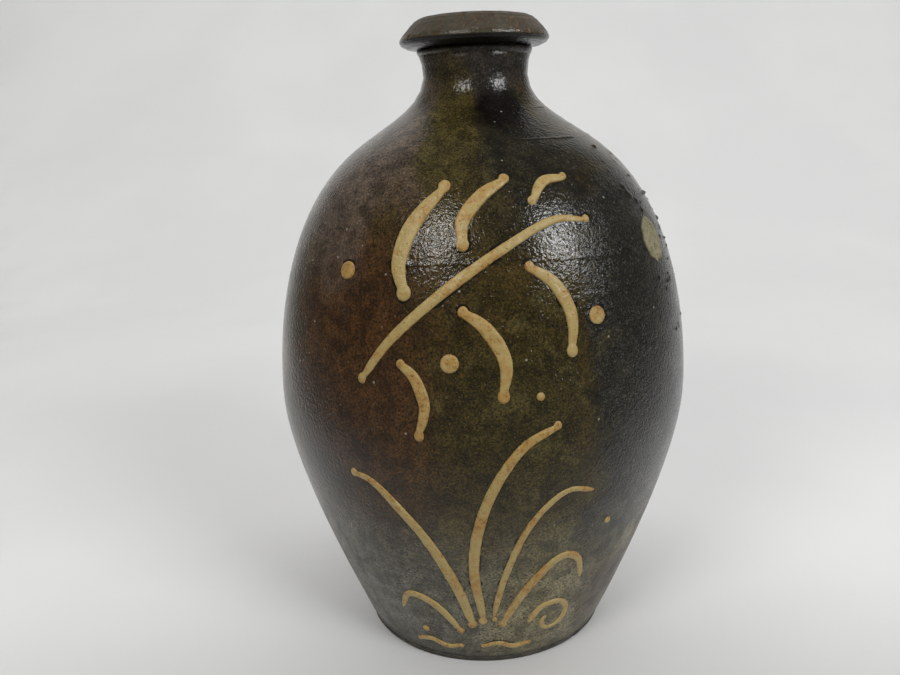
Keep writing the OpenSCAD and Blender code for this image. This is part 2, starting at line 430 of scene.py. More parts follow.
@dataclass
class Turned:
    """A solid turned from an outline: rows of points, each row one ring about the axis."""

    rows: np.ndarray
    facing: np.ndarray
    main: np.ndarray
    around: int
    reaches_axis: bool

    @classmethod
    def from_node(cls, node: str, around: int, step: float, rough: float, side: Side = Side.OUT) -> "Turned":
        """Turns a frame node again, finely on the side that shows.

        Args:
            node: name of the frame node.
            around: points in one ring.
            step: distance between rings on the side that shows.
            rough: distance between rings elsewhere.
            side: whether the outer or the inner side shows.

        Returns:
            The turned solid.
        """
        outline = Outline.of_node(node)
        runs = outline.runs()
        ways = [np.sum(np.diff(run, axis=0), axis=0) for run in runs]
        chosen = int(np.argmax([side.value * way[1] for way in ways]))
        rows, main = [], []
        for n, run in enumerate(runs):
            made = resampled(run, step if n == chosen else rough)
            last = n == len(runs) - 1 and outline.reaches_axis
            made = made if last else made[:-1]
            rows.append(made)
            main.append(np.full(len(made), n == chosen))
        points = np.vstack(rows)
        ahead, behind = np.roll(points, -1, 0), np.roll(points, 1, 0)
        if outline.reaches_axis:
            ahead[-1], behind[0] = points[-1] + [-MM, 0], points[0] - [MM, 0]
        way = ahead - behind
        way /= np.maximum(np.hypot(*way.T), 1e-9)[:, None]
        return cls(points, np.c_[way[:, 1], -way[:, 0]], np.concatenate(main), around, outline.reaches_axis)

    def turns(self) -> np.ndarray:
        """Azimuth of every point, in degrees, in the order of its points."""
        ring = np.arange(self.around) * 360.0 / self.around - 180.0
        return np.tile(ring, len(self.rows))

    def points(self) -> np.ndarray:
        """Every point of the solid, row after row."""
        return self._round(self.rows)

    def normals(self) -> np.ndarray:
        """Outward direction at every point."""
        return self._round(self.facing)

    def spread(self, per_row: np.ndarray) -> np.ndarray:
        """A value for each row, repeated for each point of that row."""
        return np.repeat(per_row, self.around)

    def _round(self, profile: np.ndarray) -> np.ndarray:
        """Turns rows about the axis.

        Args:
            profile: rows of (radius, height).

        Returns:
            One point, or direction, for each step of each ring.
        """
        turn = np.radians(self.turns())
        r, z = self.spread(profile[:, 0]), self.spread(profile[:, 1])
        return np.c_[r * np.sin(turn), -r * np.cos(turn), z]

    def mesh(self, name: str, points: np.ndarray) -> bpy.types.Mesh:
        """Builds the solid's mesh.

        Args:
            name: name of the mesh.
            points: final places of its points, row after row.

        Returns:
            The mesh, closed.
        """
        count, wide = len(self.rows), self.around
        ring = np.arange(wide)
        beside = (ring + 1) % wide
        quads = []
        for i in range(count - 1 if self.reaches_axis else count):
            a, b = i * wide, (i + 1) % count * wide
            quads.append(np.c_[a + ring, a + beside, b + beside, b + ring])
        faces = np.vstack(quads)
        mesh = bpy.data.meshes.new(name)
        mesh.from_pydata(points.tolist(), [], faces.tolist())
        if self.reaches_axis:
            self._close_poles(mesh)
        mesh.validate()
        mesh.update()
        return mesh

    @staticmethod
    def _close_poles(mesh: bpy.types.Mesh) -> None:
        """Joins the points that lie together on the axis.

        Args:
            mesh: the mesh to repair.
        """
        shape = bmesh.new()
        shape.from_mesh(mesh)
        poles = [vertex for vertex in shape.verts if vertex.co.xy.length < 0.02 * MM]
        bmesh.ops.remove_doubles(shape, verts=poles, dist=0.1 * MM)
        shape.to_mesh(mesh)
        shape.free()


# ------------------------------------------------------------------------------------------ finishes' tools


class Recipe:
    """Short words for wiring one material."""

    def __init__(self, name: str) -> None:
        """Starts a material with one empty shader.

        Args:
            name: name of the material.
        """
        self.material = bpy.data.materials.new(name)
        self.material.use_nodes = True
        self.tree = self.material.node_tree
        self.tree.nodes.clear()
        self.shader = self.tree.nodes.new("ShaderNodeBsdfPrincipled")
        self.output = self.tree.nodes.new("ShaderNodeOutputMaterial")
        self.tree.links.new(self.shader.outputs["BSDF"], self.output.inputs["Surface"])
        self.place = self.tree.nodes.new("ShaderNodeTexCoord").outputs["Object"]

    def _feed(self, socket: bpy.types.NodeSocket, value: object) -> None:
        """Links or sets one input.

        Args:
            socket: the input.
            value: another node's output to link, or a plain value.
        """
        if isinstance(value, bpy.types.NodeSocket):
            self.tree.links.new(value, socket)
        elif isinstance(value, tuple) and len(value) == 3 and socket.type == "RGBA":
            socket.default_value = (*value, 1.0)
        else:
            socket.default_value = value

    def set(self, **inputs: object) -> "Recipe":
        """Sets or links the shader's own inputs.

        Args:
            **inputs: outputs or plain values, by the input's name with _ for a space.

        Returns:
            The recipe.
        """
        for name, value in inputs.items():
            self._feed(self.shader.inputs[name.replace("_", " ")], value)
        return self

    def value(self, name: str) -> bpy.types.NodeSocket:
        """A painted number.

        Args:
            name: name of the painted value.

        Returns:
            Its output.
        """
        node = self.tree.nodes.new("ShaderNodeAttribute")
        node.attribute_name = name
        return node.outputs["Fac"]

    def colour(self, name: str) -> bpy.types.NodeSocket:
        """A painted colour.

        Args:
            name: name of the painted value.

        Returns:
            Its output.
        """
        node = self.tree.nodes.new("ShaderNodeAttribute")
        node.attribute_name = name
        return node.outputs["Color"]

    def noise(
        self, size: float, detail: float = 2.0, keep: float = 0.5, twist: float = 0.0
    ) -> bpy.types.NodeSocket:
        """Cloudy noise about 0.5.

        Args:
            size: size of its features, in metres.
            detail: number of finer layers.
            keep: strength of a layer, as a share of the one before.
            twist: how strongly it is swirled.

        Returns:
            Its output.
        """
        node = self.tree.nodes.new("ShaderNodeTexNoise")
        self._feed(node.inputs["Vector"], self.place)
        numbers = {"Scale": 1.0 / size, "Detail": detail, "Roughness": keep, "Distortion": twist}
        for name, number in numbers.items():
            node.inputs[name].default_value = number
        return node.outputs["Fac"]

    def cells(self, size: float, jitter: float = 1.0) -> bpy.types.NodeSocket:
        """Distance to the middle of the nearest cell.

        Args:
            size: the cells' size, in metres.
            jitter: how far the cells stray from a grid.

        Returns:
            Its output, in shares of the cells' size.
        """
        node = self.tree.nodes.new("ShaderNodeTexVoronoi")
        self._feed(node.inputs["Vector"], self.place)
        node.inputs["Scale"].default_value = 1.0 / size
        node.inputs["Randomness"].default_value = jitter
        return node.outputs["Distance"]

    def level(
        self, value: object, low: float, high: float, out_low: float = 0.0, out_high: float = 1.0
    ) -> bpy.types.NodeSocket:
        """Smoothly stretches a value from one range to another.

        Args:
            value: the value.
            low: where its range starts.
            high: where its range ends.
            out_low: what low becomes.
            out_high: what high becomes.

        Returns:
            The new value's output.
        """
        node = self.tree.nodes.new("ShaderNodeMapRange")
        node.interpolation_type = "SMOOTHSTEP"
        names = ("Value", "From Min", "From Max", "To Min", "To Max")
        for name, given in zip(names, (value, low, high, out_low, out_high)):
            self._feed(node.inputs[name], given)
        return node.outputs["Result"]

    def calc(self, kind: str, a: object, b: object) -> bpy.types.NodeSocket:
        """Sum of two values, or their product and so on.

        Args:
            kind: the operation.
            a: first value.
            b: second value.

        Returns:
            The result's output.
        """
        node = self.tree.nodes.new("ShaderNodeMath")
        node.operation = kind
        self._feed(node.inputs[0], a)
        self._feed(node.inputs[1], b)
        return node.outputs[0]

    def mix(self, share: object, a: object, b: object, kind: str = "MIX") -> bpy.types.NodeSocket:
        """Turns one colour towards another.

        Args:
            share: how far, from 0 to 1.
            a: colour to start from.
            b: colour to go to.
            kind: way of blending.

        Returns:
            The blend's output.
        """
        node = self.tree.nodes.new("ShaderNodeMix")
        node.data_type = "RGBA"
        node.blend_type = kind
        self._feed(node.inputs[0], share)
        self._feed(node.inputs[6], a)
        self._feed(node.inputs[7], b)
        return node.outputs[2]

    def bump(self, height: object, depth: float, below: object = None) -> bpy.types.NodeSocket:
        """Shading relief from a height.

        Args:
            height: the height, about 0 to 1.
            depth: what 1 stands for, in metres.
            below: relief that this one lies on.

        Returns:
            The relief's output.
        """
        node = self.tree.nodes.new("ShaderNodeBump")
        node.inputs["Strength"].default_value = 1.0
        node.inputs["Distance"].default_value = depth
        self._feed(node.inputs["Height"], height)
        if below is not None:
            self._feed(node.inputs["Normal"], below)
        return node.outputs["Normal"]


# ---------------------------------------------------------------------------------------------- finishes


@dataclass(frozen=True)
class IronGlaze:
    """Dark iron glaze: zones painted on the coat, broken by mottling, flecks and an orange-peel skin."""

    name: str = "iron_glaze"
    fleck: Colour = (0.047, 0.046, 0.04)
    soot_and_shade: Colour = (0.006, 0.005, 0.004)
    ochre: Colour = (0.13, 0.1, 0.03)
    moss: Colour = (0.06, 0.052, 0.018)
    chip: Colour = (0.26, 0.24, 0.19)
    glint: Colour = (2.9, 2.5, 2.1)

    def material(self) -> bpy.types.Material:
        """Wires the finish.

        Returns:
            The material.
        """
        r = Recipe(self.name)
        tint, grainy, sooty, dry, pool = (
            r.colour("tint"), r.value("grainy"), r.value("sooty"), r.value("dry"), r.value("pool")
        )
        mottle = r.noise(5.5 * MM, 5.0, 0.62, 0.4)
        fine = r.noise(0.62 * MM, 3.0, 0.62)
        dust = r.noise(0.42 * MM, 2.0, 0.6)
        tone = r.mix(r.level(mottle, 0.36, 0.64, 0.0, 0.55), tint, (0.0, 0.0, 0.0))
        swirl = r.noise(9.0 * MM, 3.0, 0.6, 0.6)
        cloud = r.calc("MULTIPLY", r.level(swirl, 0.55, 0.68, 0.0, 0.5), r.value("gold"))
        tone = r.mix(cloud, tone, self.moss)
        lit = r.mix(1.0, tone, self.glint, "MULTIPLY")
        tone = r.mix(r.level(fine, 0.44, 0.62, 0.0, 0.75), tone, lit)
        specks = r.calc("MULTIPLY", r.level(dust, 0.6, 0.68), r.value("gold"))
        tone = r.mix(r.calc("MULTIPLY", specks, 0.7), tone, self.ochre)
        pale = r.calc("MULTIPLY", r.level(r.noise(0.75 * MM, 2.0, 0.55, 0.6), 0.56, 0.66), grainy)
        tone = r.mix(pale, tone, self.fleck)
        dots = r.calc("MULTIPLY", r.level(r.cells(1.25 * MM), 0.34, 0.16), sooty)
        tone = r.mix(dots, tone, self.soot_and_shade)
        tone = r.mix(r.level(r.cells(7.0 * MM), 0.06, 0.035, 0.0, 0.85), tone, self.chip)
        tone = r.mix(pool, tone, self.soot_and_shade)
        gloss = r.calc("ADD", r.level(mottle, 0.3, 0.7, -0.05, 0.06), r.level(dry, 0.0, 1.0, 0.11, 0.42))
        skin = r.noise(1.05 * MM, 2.0, 0.5)
        crumbs = r.noise(0.5 * MM, 2.0, 0.6)
        relief = r.bump(skin, 0.17 * MM)
        relief = r.bump(r.calc("MULTIPLY", crumbs, r.calc("ADD", grainy, 0.45)), 0.12 * MM, relief)
        relief = r.bump(r.level(r.cells(2.1 * MM), 0.05, 0.2), 0.1 * MM, relief)
        r.set(Base_Color=tone, Roughness=gloss, Normal=relief, IOR=1.5, Specular_IOR_Level=0.42)
        return r.material


@dataclass(frozen=True)
class LipFinish:
    """Thin, drier glaze of the lip, brown where it broke over the edge."""

    name: str = "lip_finish"
    brown: Colour = (0.043, 0.031, 0.019)
    grey: Colour = (0.045, 0.041, 0.028)
    spark: Colour = (0.17, 0.08, 0.028)
    # near black: the painted shade under the lip and at the top of the throat
    soot_and_shade: Colour = (0.008, 0.007, 0.006)
    glint: Colour = (1.8, 1.75, 1.65)

    def material(self) -> bpy.types.Material:
        """Wires the finish.

        Returns:
            The material.
        """
        r = Recipe(self.name)
        cloud = r.noise(3.2 * MM, 5.0, 0.62, 0.4)
        fine = r.noise(0.55 * MM, 3.0, 0.6)
        tone = r.mix(r.level(cloud, 0.38, 0.62), self.brown, self.grey)
        lit = r.mix(1.0, tone, self.glint, "MULTIPLY")
        tone = r.mix(r.level(fine, 0.42, 0.66, 0.0, 0.6), tone, lit)
        warm = r.calc("MULTIPLY", r.level(r.noise(0.9 * MM, 2.0), 0.58, 0.66), r.value("rusty"))
        tone = r.mix(warm, tone, self.spark)
        # painted shade: the lip's underside and the top of its throat turn near black where shade is painted
        tone = r.mix(r.value("shade"), tone, self.soot_and_shade)
        relief = r.bump(r.noise(0.6 * MM, 3.0, 0.6), 0.14 * MM)
        relief = r.bump(r.noise(1.9 * MM, 2.0), 0.16 * MM, relief)
        shine = r.calc("MULTIPLY", r.value("glossy"), 0.3)
        dull = r.calc("SUBTRACT", r.level(cloud, 0.3, 0.7, 0.38, 0.52), shine)
        r.set(Base_Color=tone, Roughness=dull, Normal=relief, IOR=1.48)
        return r.material


@dataclass(frozen=True)
class ClayFinish:
    """Fired stoneware clay, reddish brown with grog and iron spots."""

    name: str = "fired_clay"
    body: Colour = (0.16, 0.115, 0.08)
    pale: Colour = (0.29, 0.235, 0.175)
    iron: Colour = (0.04, 0.02, 0.012)
    ash: Colour = (0.03, 0.03, 0.025)

    def material(self) -> bpy.types.Material:
        """Wires the finish.

        Returns:
            The material.
        """
        r = Recipe(self.name)
        cloud = r.noise(9.0 * MM, 4.0, 0.6)
        tone = r.mix(r.level(cloud, 0.35, 0.65), self.body, self.pale)
        tone = r.mix(r.level(r.cells(2.6 * MM), 0.2, 0.1), tone, self.iron)
        tone = r.mix(r.level(r.noise(0.5 * MM), 0.58, 0.7, 0.0, 0.5), tone, self.pale)
        grime = r.level(r.noise(4.0 * MM, 4.0, 0.7), 0.38, 0.55, 0.8, 1.0)
        grimy = r.calc("MULTIPLY", grime, r.value("ashy"))
        tone = r.mix(grimy, tone, self.ash)
        relief = r.bump(r.noise(0.7 * MM, 4.0, 0.65), 0.2 * MM)
        r.set(Base_Color=tone, Roughness=r.level(cloud, 0.3, 0.7, 0.75, 0.92), Normal=relief, IOR=1.45)
        return r.material


@dataclass(frozen=True)
class LinerFinish:
    """Plain dark brown glaze inside, seen down the throat."""

    name: str = "liner_finish"
    deep: Colour = (0.02, 0.011, 0.007)
    warm: Colour = (0.07, 0.035, 0.015)

    def material(self) -> bpy.types.Material:
        """Wires the finish.

        Returns:
            The material.
        """
        r = Recipe(self.name)
        cloud = r.noise(7.0 * MM, 4.0, 0.6)
        tone = r.mix(r.level(cloud, 0.35, 0.68), self.deep, self.warm)
        relief = r.bump(r.noise(1.4 * MM, 2.0), 0.15 * MM)
        r.set(Base_Color=tone, Roughness=r.level(cloud, 0.3, 0.7, 0.16, 0.3), Normal=relief, IOR=1.5)
        return r.material


@dataclass(frozen=True)
class SlipFinish:
    """Trailed slip under a thin gloss: cream where thin, ochre where thick, with iron flecks."""

    name: str = "trailed_slip"
    thin: Colour = (0.24, 0.22, 0.13)
    cream: Colour = (0.355, 0.265, 0.1)
    ochre: Colour = (0.34, 0.195, 0.052)
    stain: Colour = (0.2, 0.095, 0.024)
    iron: Colour = (0.16, 0.075, 0.02)

    def material(self) -> bpy.types.Material:
        """Wires the finish.

        Returns:
            The material.
        """
        r = Recipe(self.name)
        thick, warm = r.value("thick"), r.value("warm")
        cloud = r.noise(2.4 * MM, 4.0, 0.6, 0.3)
        tone = r.mix(r.level(thick, 0.05, 0.42), self.thin, self.cream)
        share = r.calc("ADD", warm, r.level(cloud, 0.36, 0.66, -0.35, 0.35))
        tone = r.mix(r.calc("MULTIPLY", r.level(share, 0.2, 0.9), 0.85), tone, self.ochre)
        blotch = r.level(r.noise(0.95 * MM, 4.0, 0.65, 0.3), 0.5, 0.6)
        patchy = r.calc("MULTIPLY", blotch, r.level(share, 0.35, 0.95, 0.12, 0.85))
        tone = r.mix(patchy, tone, self.stain)
        tone = r.mix(r.level(r.cells(1.3 * MM), 0.2, 0.1, 0.0, 0.9), tone, self.iron)
        tone = r.mix(r.level(r.noise(0.45 * MM, 2.0), 0.6, 0.7, 0.0, 0.35), tone, self.ochre)
        tone = r.mix(r.level(thick, 0.1, -0.02, 0.0, 0.85), tone, self.iron)
        relief = r.bump(r.noise(0.6 * MM, 3.0), 0.14 * MM)
        relief = r.bump(r.noise(1.7 * MM, 2.0), 0.22 * MM, relief)
        r.set(Base_Color=tone, Roughness=r.level(cloud, 0.3, 0.7, 0.32, 0.5), Normal=relief, IOR=1.48)
        return r.material


@dataclass(frozen=True)
class ScarFinish:
    """Dry pale crust where the bottle touched something in the kiln."""

    name: str = "kiln_scar_crust"
    tan: Colour = (0.2, 0.176, 0.094)
    dust: Colour = (0.3, 0.27, 0.17)
    burnt: Colour = (0.02, 0.015, 0.01)

    def material(self) -> bpy.types.Material:
        """Wires the finish.

        Returns:
            The material.
        """
        r = Recipe(self.name)
        cloud = r.noise(1.6 * MM, 5.0, 0.65, 0.3)
        tone = r.mix(r.level(cloud, 0.42, 0.58), self.tan, self.dust)
        tone = r.mix(r.level(r.noise(0.7 * MM, 3.0), 0.57, 0.66, 0.0, 0.75), tone, self.burnt)
        tone = r.mix(r.value("rim"), tone, self.burnt)
        relief = r.bump(r.noise(0.6 * MM, 4.0, 0.65), 0.5 * MM)
        r.set(Base_Color=tone, Roughness=r.level(cloud, 0.3, 0.7, 0.6, 0.85), Normal=relief, IOR=1.45)
        return r.material


@dataclass(frozen=True)
class GritFinish:
    """Crumbs of kiln roof fused under a skin of glaze."""

    name: str = "fused_grit"
    dark: Colour = (0.02, 0.016, 0.012)
    ash: Colour = (0.13, 0.11, 0.08)

    def material(self) -> bpy.types.Material:
        """Wires the finish.

        Returns:
            The material.
        """
        r = Recipe(self.name)
        cloud = r.noise(0.9 * MM, 4.0, 0.6)
        tone = r.mix(r.level(cloud, 0.42, 0.66), self.dark, self.ash)
        relief = r.bump(r.noise(0.5 * MM, 3.0), 0.15 * MM)
        r.set(Base_Color=tone, Roughness=r.level(cloud, 0.3, 0.7, 0.25, 0.55), Normal=relief, IOR=1.5)
        return r.material


@dataclass(frozen=True)
class PaperFinish:
    """Pale seamless paper of the studio."""

    name: str = "studio_paper"
    white: Colour = (0.78, 0.78, 0.77)
    shade: Colour = (0.74, 0.74, 0.735)
    # painted shade: dark grey laid on the paper where the front value is painted
    painted_shade_grey: Colour = (0.19, 0.19, 0.185)

    def material(self) -> bpy.types.Material:
        """Wires the finish.

        Returns:
            The material.
        """
        r = Recipe(self.name)
        cloud = r.noise(0.25, 3.0)
        tone = r.mix(r.level(cloud, 0.35, 0.65), self.white, self.shade)
        # painted shade: the paper turns dark grey in front of the bottle and beside it
        tone = r.mix(r.value("front"), tone, self.painted_shade_grey)
        relief = r.bump(r.noise(0.8 * MM, 2.0), 0.03 * MM)
        r.set(Base_Color=tone, Roughness=r.level(cloud, 0.3, 0.7, 0.82, 0.9), Normal=relief, IOR=1.3)
        return r.material


# ---------------------------------------------------------------------------------------------- body coat


@dataclass(frozen=True)
class Patch:
    """A soft-edged zone of one glaze colour: where its middle is, how far it reaches and how it ends."""

    azimuth: float
    height: float
    half_width: float
    half_height: float
    colour: Colour
    strength: float = 1.0
    soft: float = 0.35
    ragged: float = 0.3

    def cover(self, turn: np.ndarray, height: np.ndarray, warp: np.ndarray) -> np.ndarray:
        """How strongly the zone covers each place.

        Args:
            turn: azimuths, in degrees.
            height: heights, in millimetres.
            warp: noise that makes the zone's edge ragged.

        Returns:
            Shares from 0 to 1.
        """
        across = angle_between(turn, self.azimuth) / self.half_width
        up = (height - self.height) / self.half_height
        reach = np.hypot(across, up) + self.ragged * warp
        return self.strength * (1.0 - smoothstep(1.0 - self.soft, 1.0 + self.soft, reach))


@dataclass(frozen=True)
class Scratch:
    """A crack or dent line in the glaze, through points of (azimuth, height in millimetres)."""

    route: tuple[tuple[float, float], ...]
    width: float
    depth: float

    def depth_at(self, turn: np.ndarray, height: np.ndarray, radius: np.ndarray) -> np.ndarray:
        """Depth at each place.

        Args:
            turn: azimuths, in degrees.
            height: heights, in millimetres.
            radius: radii, in millimetres.

        Returns:
            Depths, in millimetres.
        """
        near = np.full(len(turn), 1e9)
        for (a0, z0), (a1, z1) in zip(self.route, self.route[1:]):
            x = np.radians(angle_between(turn, a0)) * radius
            way = np.array([math.radians(a1 - a0) * 55.0, z1 - z0])
            t = np.clip((x * way[0] + (height - z0) * way[1]) / (way @ way), 0.0, 1.0)
            near = np.minimum(near, np.hypot(x - t * way[0], height - z0 - t * way[1]))
        return self.depth * np.exp(-((near / self.width) ** 2))


@dataclass
class BodyCoat:
    """The glaze coat of body and neck, with its throwing rings, pits, crawled marks and colour zones."""

    around: int = 800
    ring_step: float = 0.5 * MM
    thickness: float = 0.6 * MM
    crease_height: float = 129.6
    waist_height: float = 182.5
    waist_reach: float = 4.8
    waist_depth: float = 0.35
    waist_left_depth: float = 0.5
    flare_start: float = 184.6
    flare_end: float = 190.2
    flare: float = 1.3
    bubble: tuple[float, float] = (2.7, 184.0)
    pit_count: int = 420
    nick_count: int = 14
    crumb_count: int = 170
    seed: int = 11
    umber: Colour = (0.031, 0.022, 0.0065)
    russet: Colour = (0.041, 0.0195, 0.0068)
    # purple-brown glaze, lightened to stand in for a broad reflection: partly a painted reflection
    bramble_and_sheen: Colour = (0.08, 0.065, 0.054)
    moss: Colour = (0.033, 0.027, 0.0085)
    bog: Colour = (0.0235, 0.019, 0.005)
    coal: Colour = (0.0105, 0.0108, 0.0083)
    night: Colour = (0.0045, 0.0035, 0.0035)
    smoke: Colour = (0.021, 0.02, 0.02)
    slate: Colour = (0.078, 0.08, 0.065)
    sedge: Colour = (0.135, 0.127, 0.076)
    brick: Colour = (0.038, 0.023, 0.013)
    shape: Turned = field(init=False)
    foot_height: float = field(init=False)

    def __post_init__(self) -> None:
        """Turns the coat from the frame."""
        self.shape = Turned.from_node("outer_glaze", self.around, self.ring_step, 4.0 * MM)
        self.foot_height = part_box("outer_glaze")[0].z / MM

    def zones(self) -> list[Patch]:
        """Colour zones of the coat.

        Returns:
            The zones, in the order in which they lie over each other.
        """
        return [
            Patch(-32, 100, 24, 46, self.russet, 0.95, 0.4, 0.35),
            Patch(-46, 72, 16, 22, self.night, 0.45, 0.6, 0.4),
            # left shoulder and neck: purple-brown glaze with a painted reflection of a broad light
            Patch(-76, 160, 52, 27, self.bramble_and_sheen, 0.85, 0.5, 0.4),
            Patch(84, 106, 26, 52, self.coal, 0.85, 0.45, 0.5),
            Patch(8, 92, 20, 44, self.bog, 0.9, 0.35, 0.35),
            Patch(16, 62, 17, 30, self.bog, 0.8, 0.35, 0.4),
            Patch(0, 130, 14, 18, self.umber, 0.7, 0.5, 0.4),
            *self.charcoal_run(),
            Patch(24, 158, 30, 20, self.coal, 0.85, 0.35, 0.4),
            Patch(14, 184, 75, 9, self.smoke, 0.85, 0.35, 0.3),
            *self.olive_run(),
            Patch(20, 170, 20, 6.5, self.night, 0.97, 0.3, 0.35),
            Patch(120, 110, 32, 55, self.russet, 0.9, 0.4, 0.4),
            Patch(178, 80, 30, 60, self.bog, 0.9, 0.4, 0.4),
            Patch(-130, 120, 32, 50, self.coal, 0.85, 0.3, 0.25),
            Patch(-88, 60, 22, 50, self.umber, 0.8, 0.4, 0.4),
            Patch(150, 170, 60, 20, self.moss, 0.6, 0.5, 0.5),
        ]

    def olive_run(self) -> list[Patch]:
        """The olive run that comes down from the neck, narrower as the shoulder widens.

        Returns:
            Its zones, from the top down.
        """
        return [
            Patch(-27, 181, 22, 5.5, self.moss, 0.7, 0.5, 0.45),
            Patch(-20, 171, 17, 8, self.moss, 0.95, 0.4, 0.45),
            Patch(-13, 161, 12, 9, self.moss, 0.95, 0.4, 0.45),
            Patch(-8, 148, 9, 13, self.moss, 0.75, 0.5, 0.5),
        ]

    def charcoal_run(self) -> list[Patch]:
        """The thick charcoal run on the right, which ends in a rounded lobe.

        Returns:
            Its upper zone and its lobe.
        """
        return [
            Patch(52, 100, 27, 60, self.coal, 1.0, 0.16, 0.16),
            Patch(37, 50, 13, 14, self.coal, 0.9, 0.25, 0.15),
        ]

    def scratches(self) -> list[Scratch]:
        """Cracks at the lower left and the short slash at the lower right.

        Returns:
            The cracks, then the slash.
        """
        return [
            Scratch(((-58, 53), (-55, 50), (-53.5, 50.5), (-51, 46.5), (-49.5, 46)), 0.7, 0.6),
            Scratch(((-48.5, 41.5), (-46.5, 39), (-47.5, 36.5)), 0.8, 0.55),
            Scratch(((38.5, 50.6), (43.5, 52.8)), 0.75, 0.55),
        ]

    def build(self, slip_points: np.ndarray, finish: IronGlaze) -> bpy.types.Object:
        """Builds the coat.

        Args:
            slip_points: points of the slip lines, round which the glaze climbs and darkens.
            finish: the coat's finish.

        Returns:
            The coat.
        """
        shape = self.shape
        place, out = shape.points(), shape.normals()
        turn, height = azimuth_of(place), place[:, 2] / MM
        radius = radius_of(place) / MM
        main = shape.spread(shape.main.astype(float)) > 0.5
        warp = Grain(self.seed).layered(place, 22 * MM, 5, 0.55)
        near_slip = self._distance(place, slip_points, main)
        lobe = self._lobe(turn, height, warp)
        relief = self._relief(place, turn, height, radius, near_slip, lobe)
        top = shape.rows[:, 1].max() / MM
        ends = smoothstep(0.0, 1.2, height - self.foot_height) * smoothstep(0.0, 1.5, top - height)
        shift = self._neck_shift(turn, height)
        lift = np.where(main, relief * ends + shift, -self.thickness / MM * ends - shift)
        mesh = shape.mesh("body_coat", HAND.moved(place + out * (lift * MM)[:, None]))
        paint(mesh, **self._paints(place, turn, height, warp, near_slip, lobe))
        return dress(mesh, "body_coat", Slot.BODY_GLAZE, ["outer_glaze"], finish.material())

    def _neck_shift(self, turn: np.ndarray, height: np.ndarray) -> np.ndarray:
        """How far the neck is drawn in at its waist, more on the left, and flared out under the lip.

        Args:
            turn: azimuths.
            height: heights.

        Returns:
            Shifts outwards, for both faces of the coat.
        """
        left = smoothstep(0.2, 1.0, -np.sin(np.radians(turn)))
        depth = self.waist_depth + self.waist_left_depth * left
        waist = depth * np.exp(-(((height - self.waist_height) / self.waist_reach) ** 2))
        return self.flare * smoothstep(self.flare_start, self.flare_end, height) - waist

    def _distance(self, place: np.ndarray, slip_points: np.ndarray, main: np.ndarray) -> np.ndarray:
        """Distance from each point of the coat to the nearest slip.

        Args:
            place: points of the coat.
            slip_points: points of the slip.
            main: whether each point is on the side that shows.

        Returns:
            Distances in millimetres, 99 where no slip is near.
        """
        tree = KDTree(len(slip_points))
        for n, point in enumerate(slip_points):
            tree.insert(point, n)
        tree.balance()
        low, high = slip_points.min(0) - 3 * MM, slip_points.max(0) + 3 * MM
        close = np.nonzero(main & np.all((place > low) & (place < high), axis=1))[0]
        far = np.full(len(place), 99.0)
        far[close] = [tree.find(place[n])[2] / MM for n in close]
        return far

    def _lobe(self, turn: np.ndarray, height: np.ndarray, warp: np.ndarray) -> np.ndarray:
        """Cover of the charcoal run where it lies thick, with a sharper edge than its colour has.

        Args:
            turn: azimuths.
            height: heights.
            warp: noise that makes the run's edge ragged.

        Returns:
            Shares from 0 to 1.
        """
        upper, end = self.charcoal_run()
        thick = replace(upper, soft=0.07, ragged=0.14), replace(end, strength=1.0, soft=0.1, ragged=0.1)
        return np.maximum(*(patch.cover(turn, height, warp) for patch in thick))

    def _rings(self, turn: np.ndarray, height: np.ndarray, drift: np.ndarray) -> np.ndarray:
        """Throwing rings, finer and sharper at the neck's root, and the crease under the shoulder.

        Args:
            turn: azimuths.
            height: heights.
            drift: slow noise that the rings wander with.

        Returns:
            Lifts of the glaze.
        """
        h = height + 0.9 * drift + turn / 360.0 * 3.0
        wide = 0.05 * np.sin(h / 8.5 * 2 * math.pi) + 0.04 * np.sin(h / 5.2 * 2 * math.pi + 1.0)
        root = smoothstep(154, 162, height) * (1 - smoothstep(176, 184, height))
        broken = 0.35 + 0.65 * smoothstep(-0.35, 0.35, np.sin(turn / 9.0 + h / 1.9) + drift)
        lines = 0.26 * root * broken * (np.sin(h / 3.1 * 2 * math.pi) - 0.5 * np.cos(h / 1.7 * 2 * math.pi))
        neck = 0.06 * smoothstep(176, 180, height) * np.sin(h / 2.4 * 2 * math.pi)
        ridge = (height - self.crease_height - 0.6 * drift) / 0.75
        crease = -0.34 * np.exp(-(ridge**2)) + 0.18 * np.exp(-((ridge - 2.4) ** 2))
        return wide + lines + neck + crease * (0.75 + 0.5 * drift)

    def _relief(
        self, place: np.ndarray, turn: np.ndarray, height: np.ndarray, radius: np.ndarray,
        near_slip: np.ndarray, lobe: np.ndarray,
    ) -> np.ndarray:
        """Height of the glaze over its even skin.

        Args:
            place: points of the coat.
            turn: their azimuths.
            height: their heights, in millimetres.
            radius: their radii, in millimetres.
            near_slip: their distances from the slip, in millimetres.
            lobe: cover of the charcoal run.

        Returns:
            Heights in millimetres.
        """
        grain = Grain(self.seed + 1)
        drift = grain.smooth(place, 34 * MM)
        skin = 0.16 * grain.smooth(place, 26 * MM) + 0.06 * grain.smooth(place, 9 * MM)
        peel = 0.028 * grain.smooth(place, 2.1 * MM) + 0.02 * Grain(self.seed + 2).smooth(place, 1.3 * MM)
        rough = 1.0 + 1.1 * lobe
        climb = 0.16 * np.exp(-((near_slip / 0.9) ** 2))
        relief = skin + self._rings(turn, height, drift) + peel * rough + climb + 0.14 * lobe
        roll = height - self.foot_height
        relief += 0.22 * np.exp(-(((roll - 1.6 - 0.5 * drift) / 1.1) ** 2))
        for scratch in self.scratches():
            relief -= scratch.depth_at(turn, height, radius)
        return relief + self._spots(turn, height, radius)

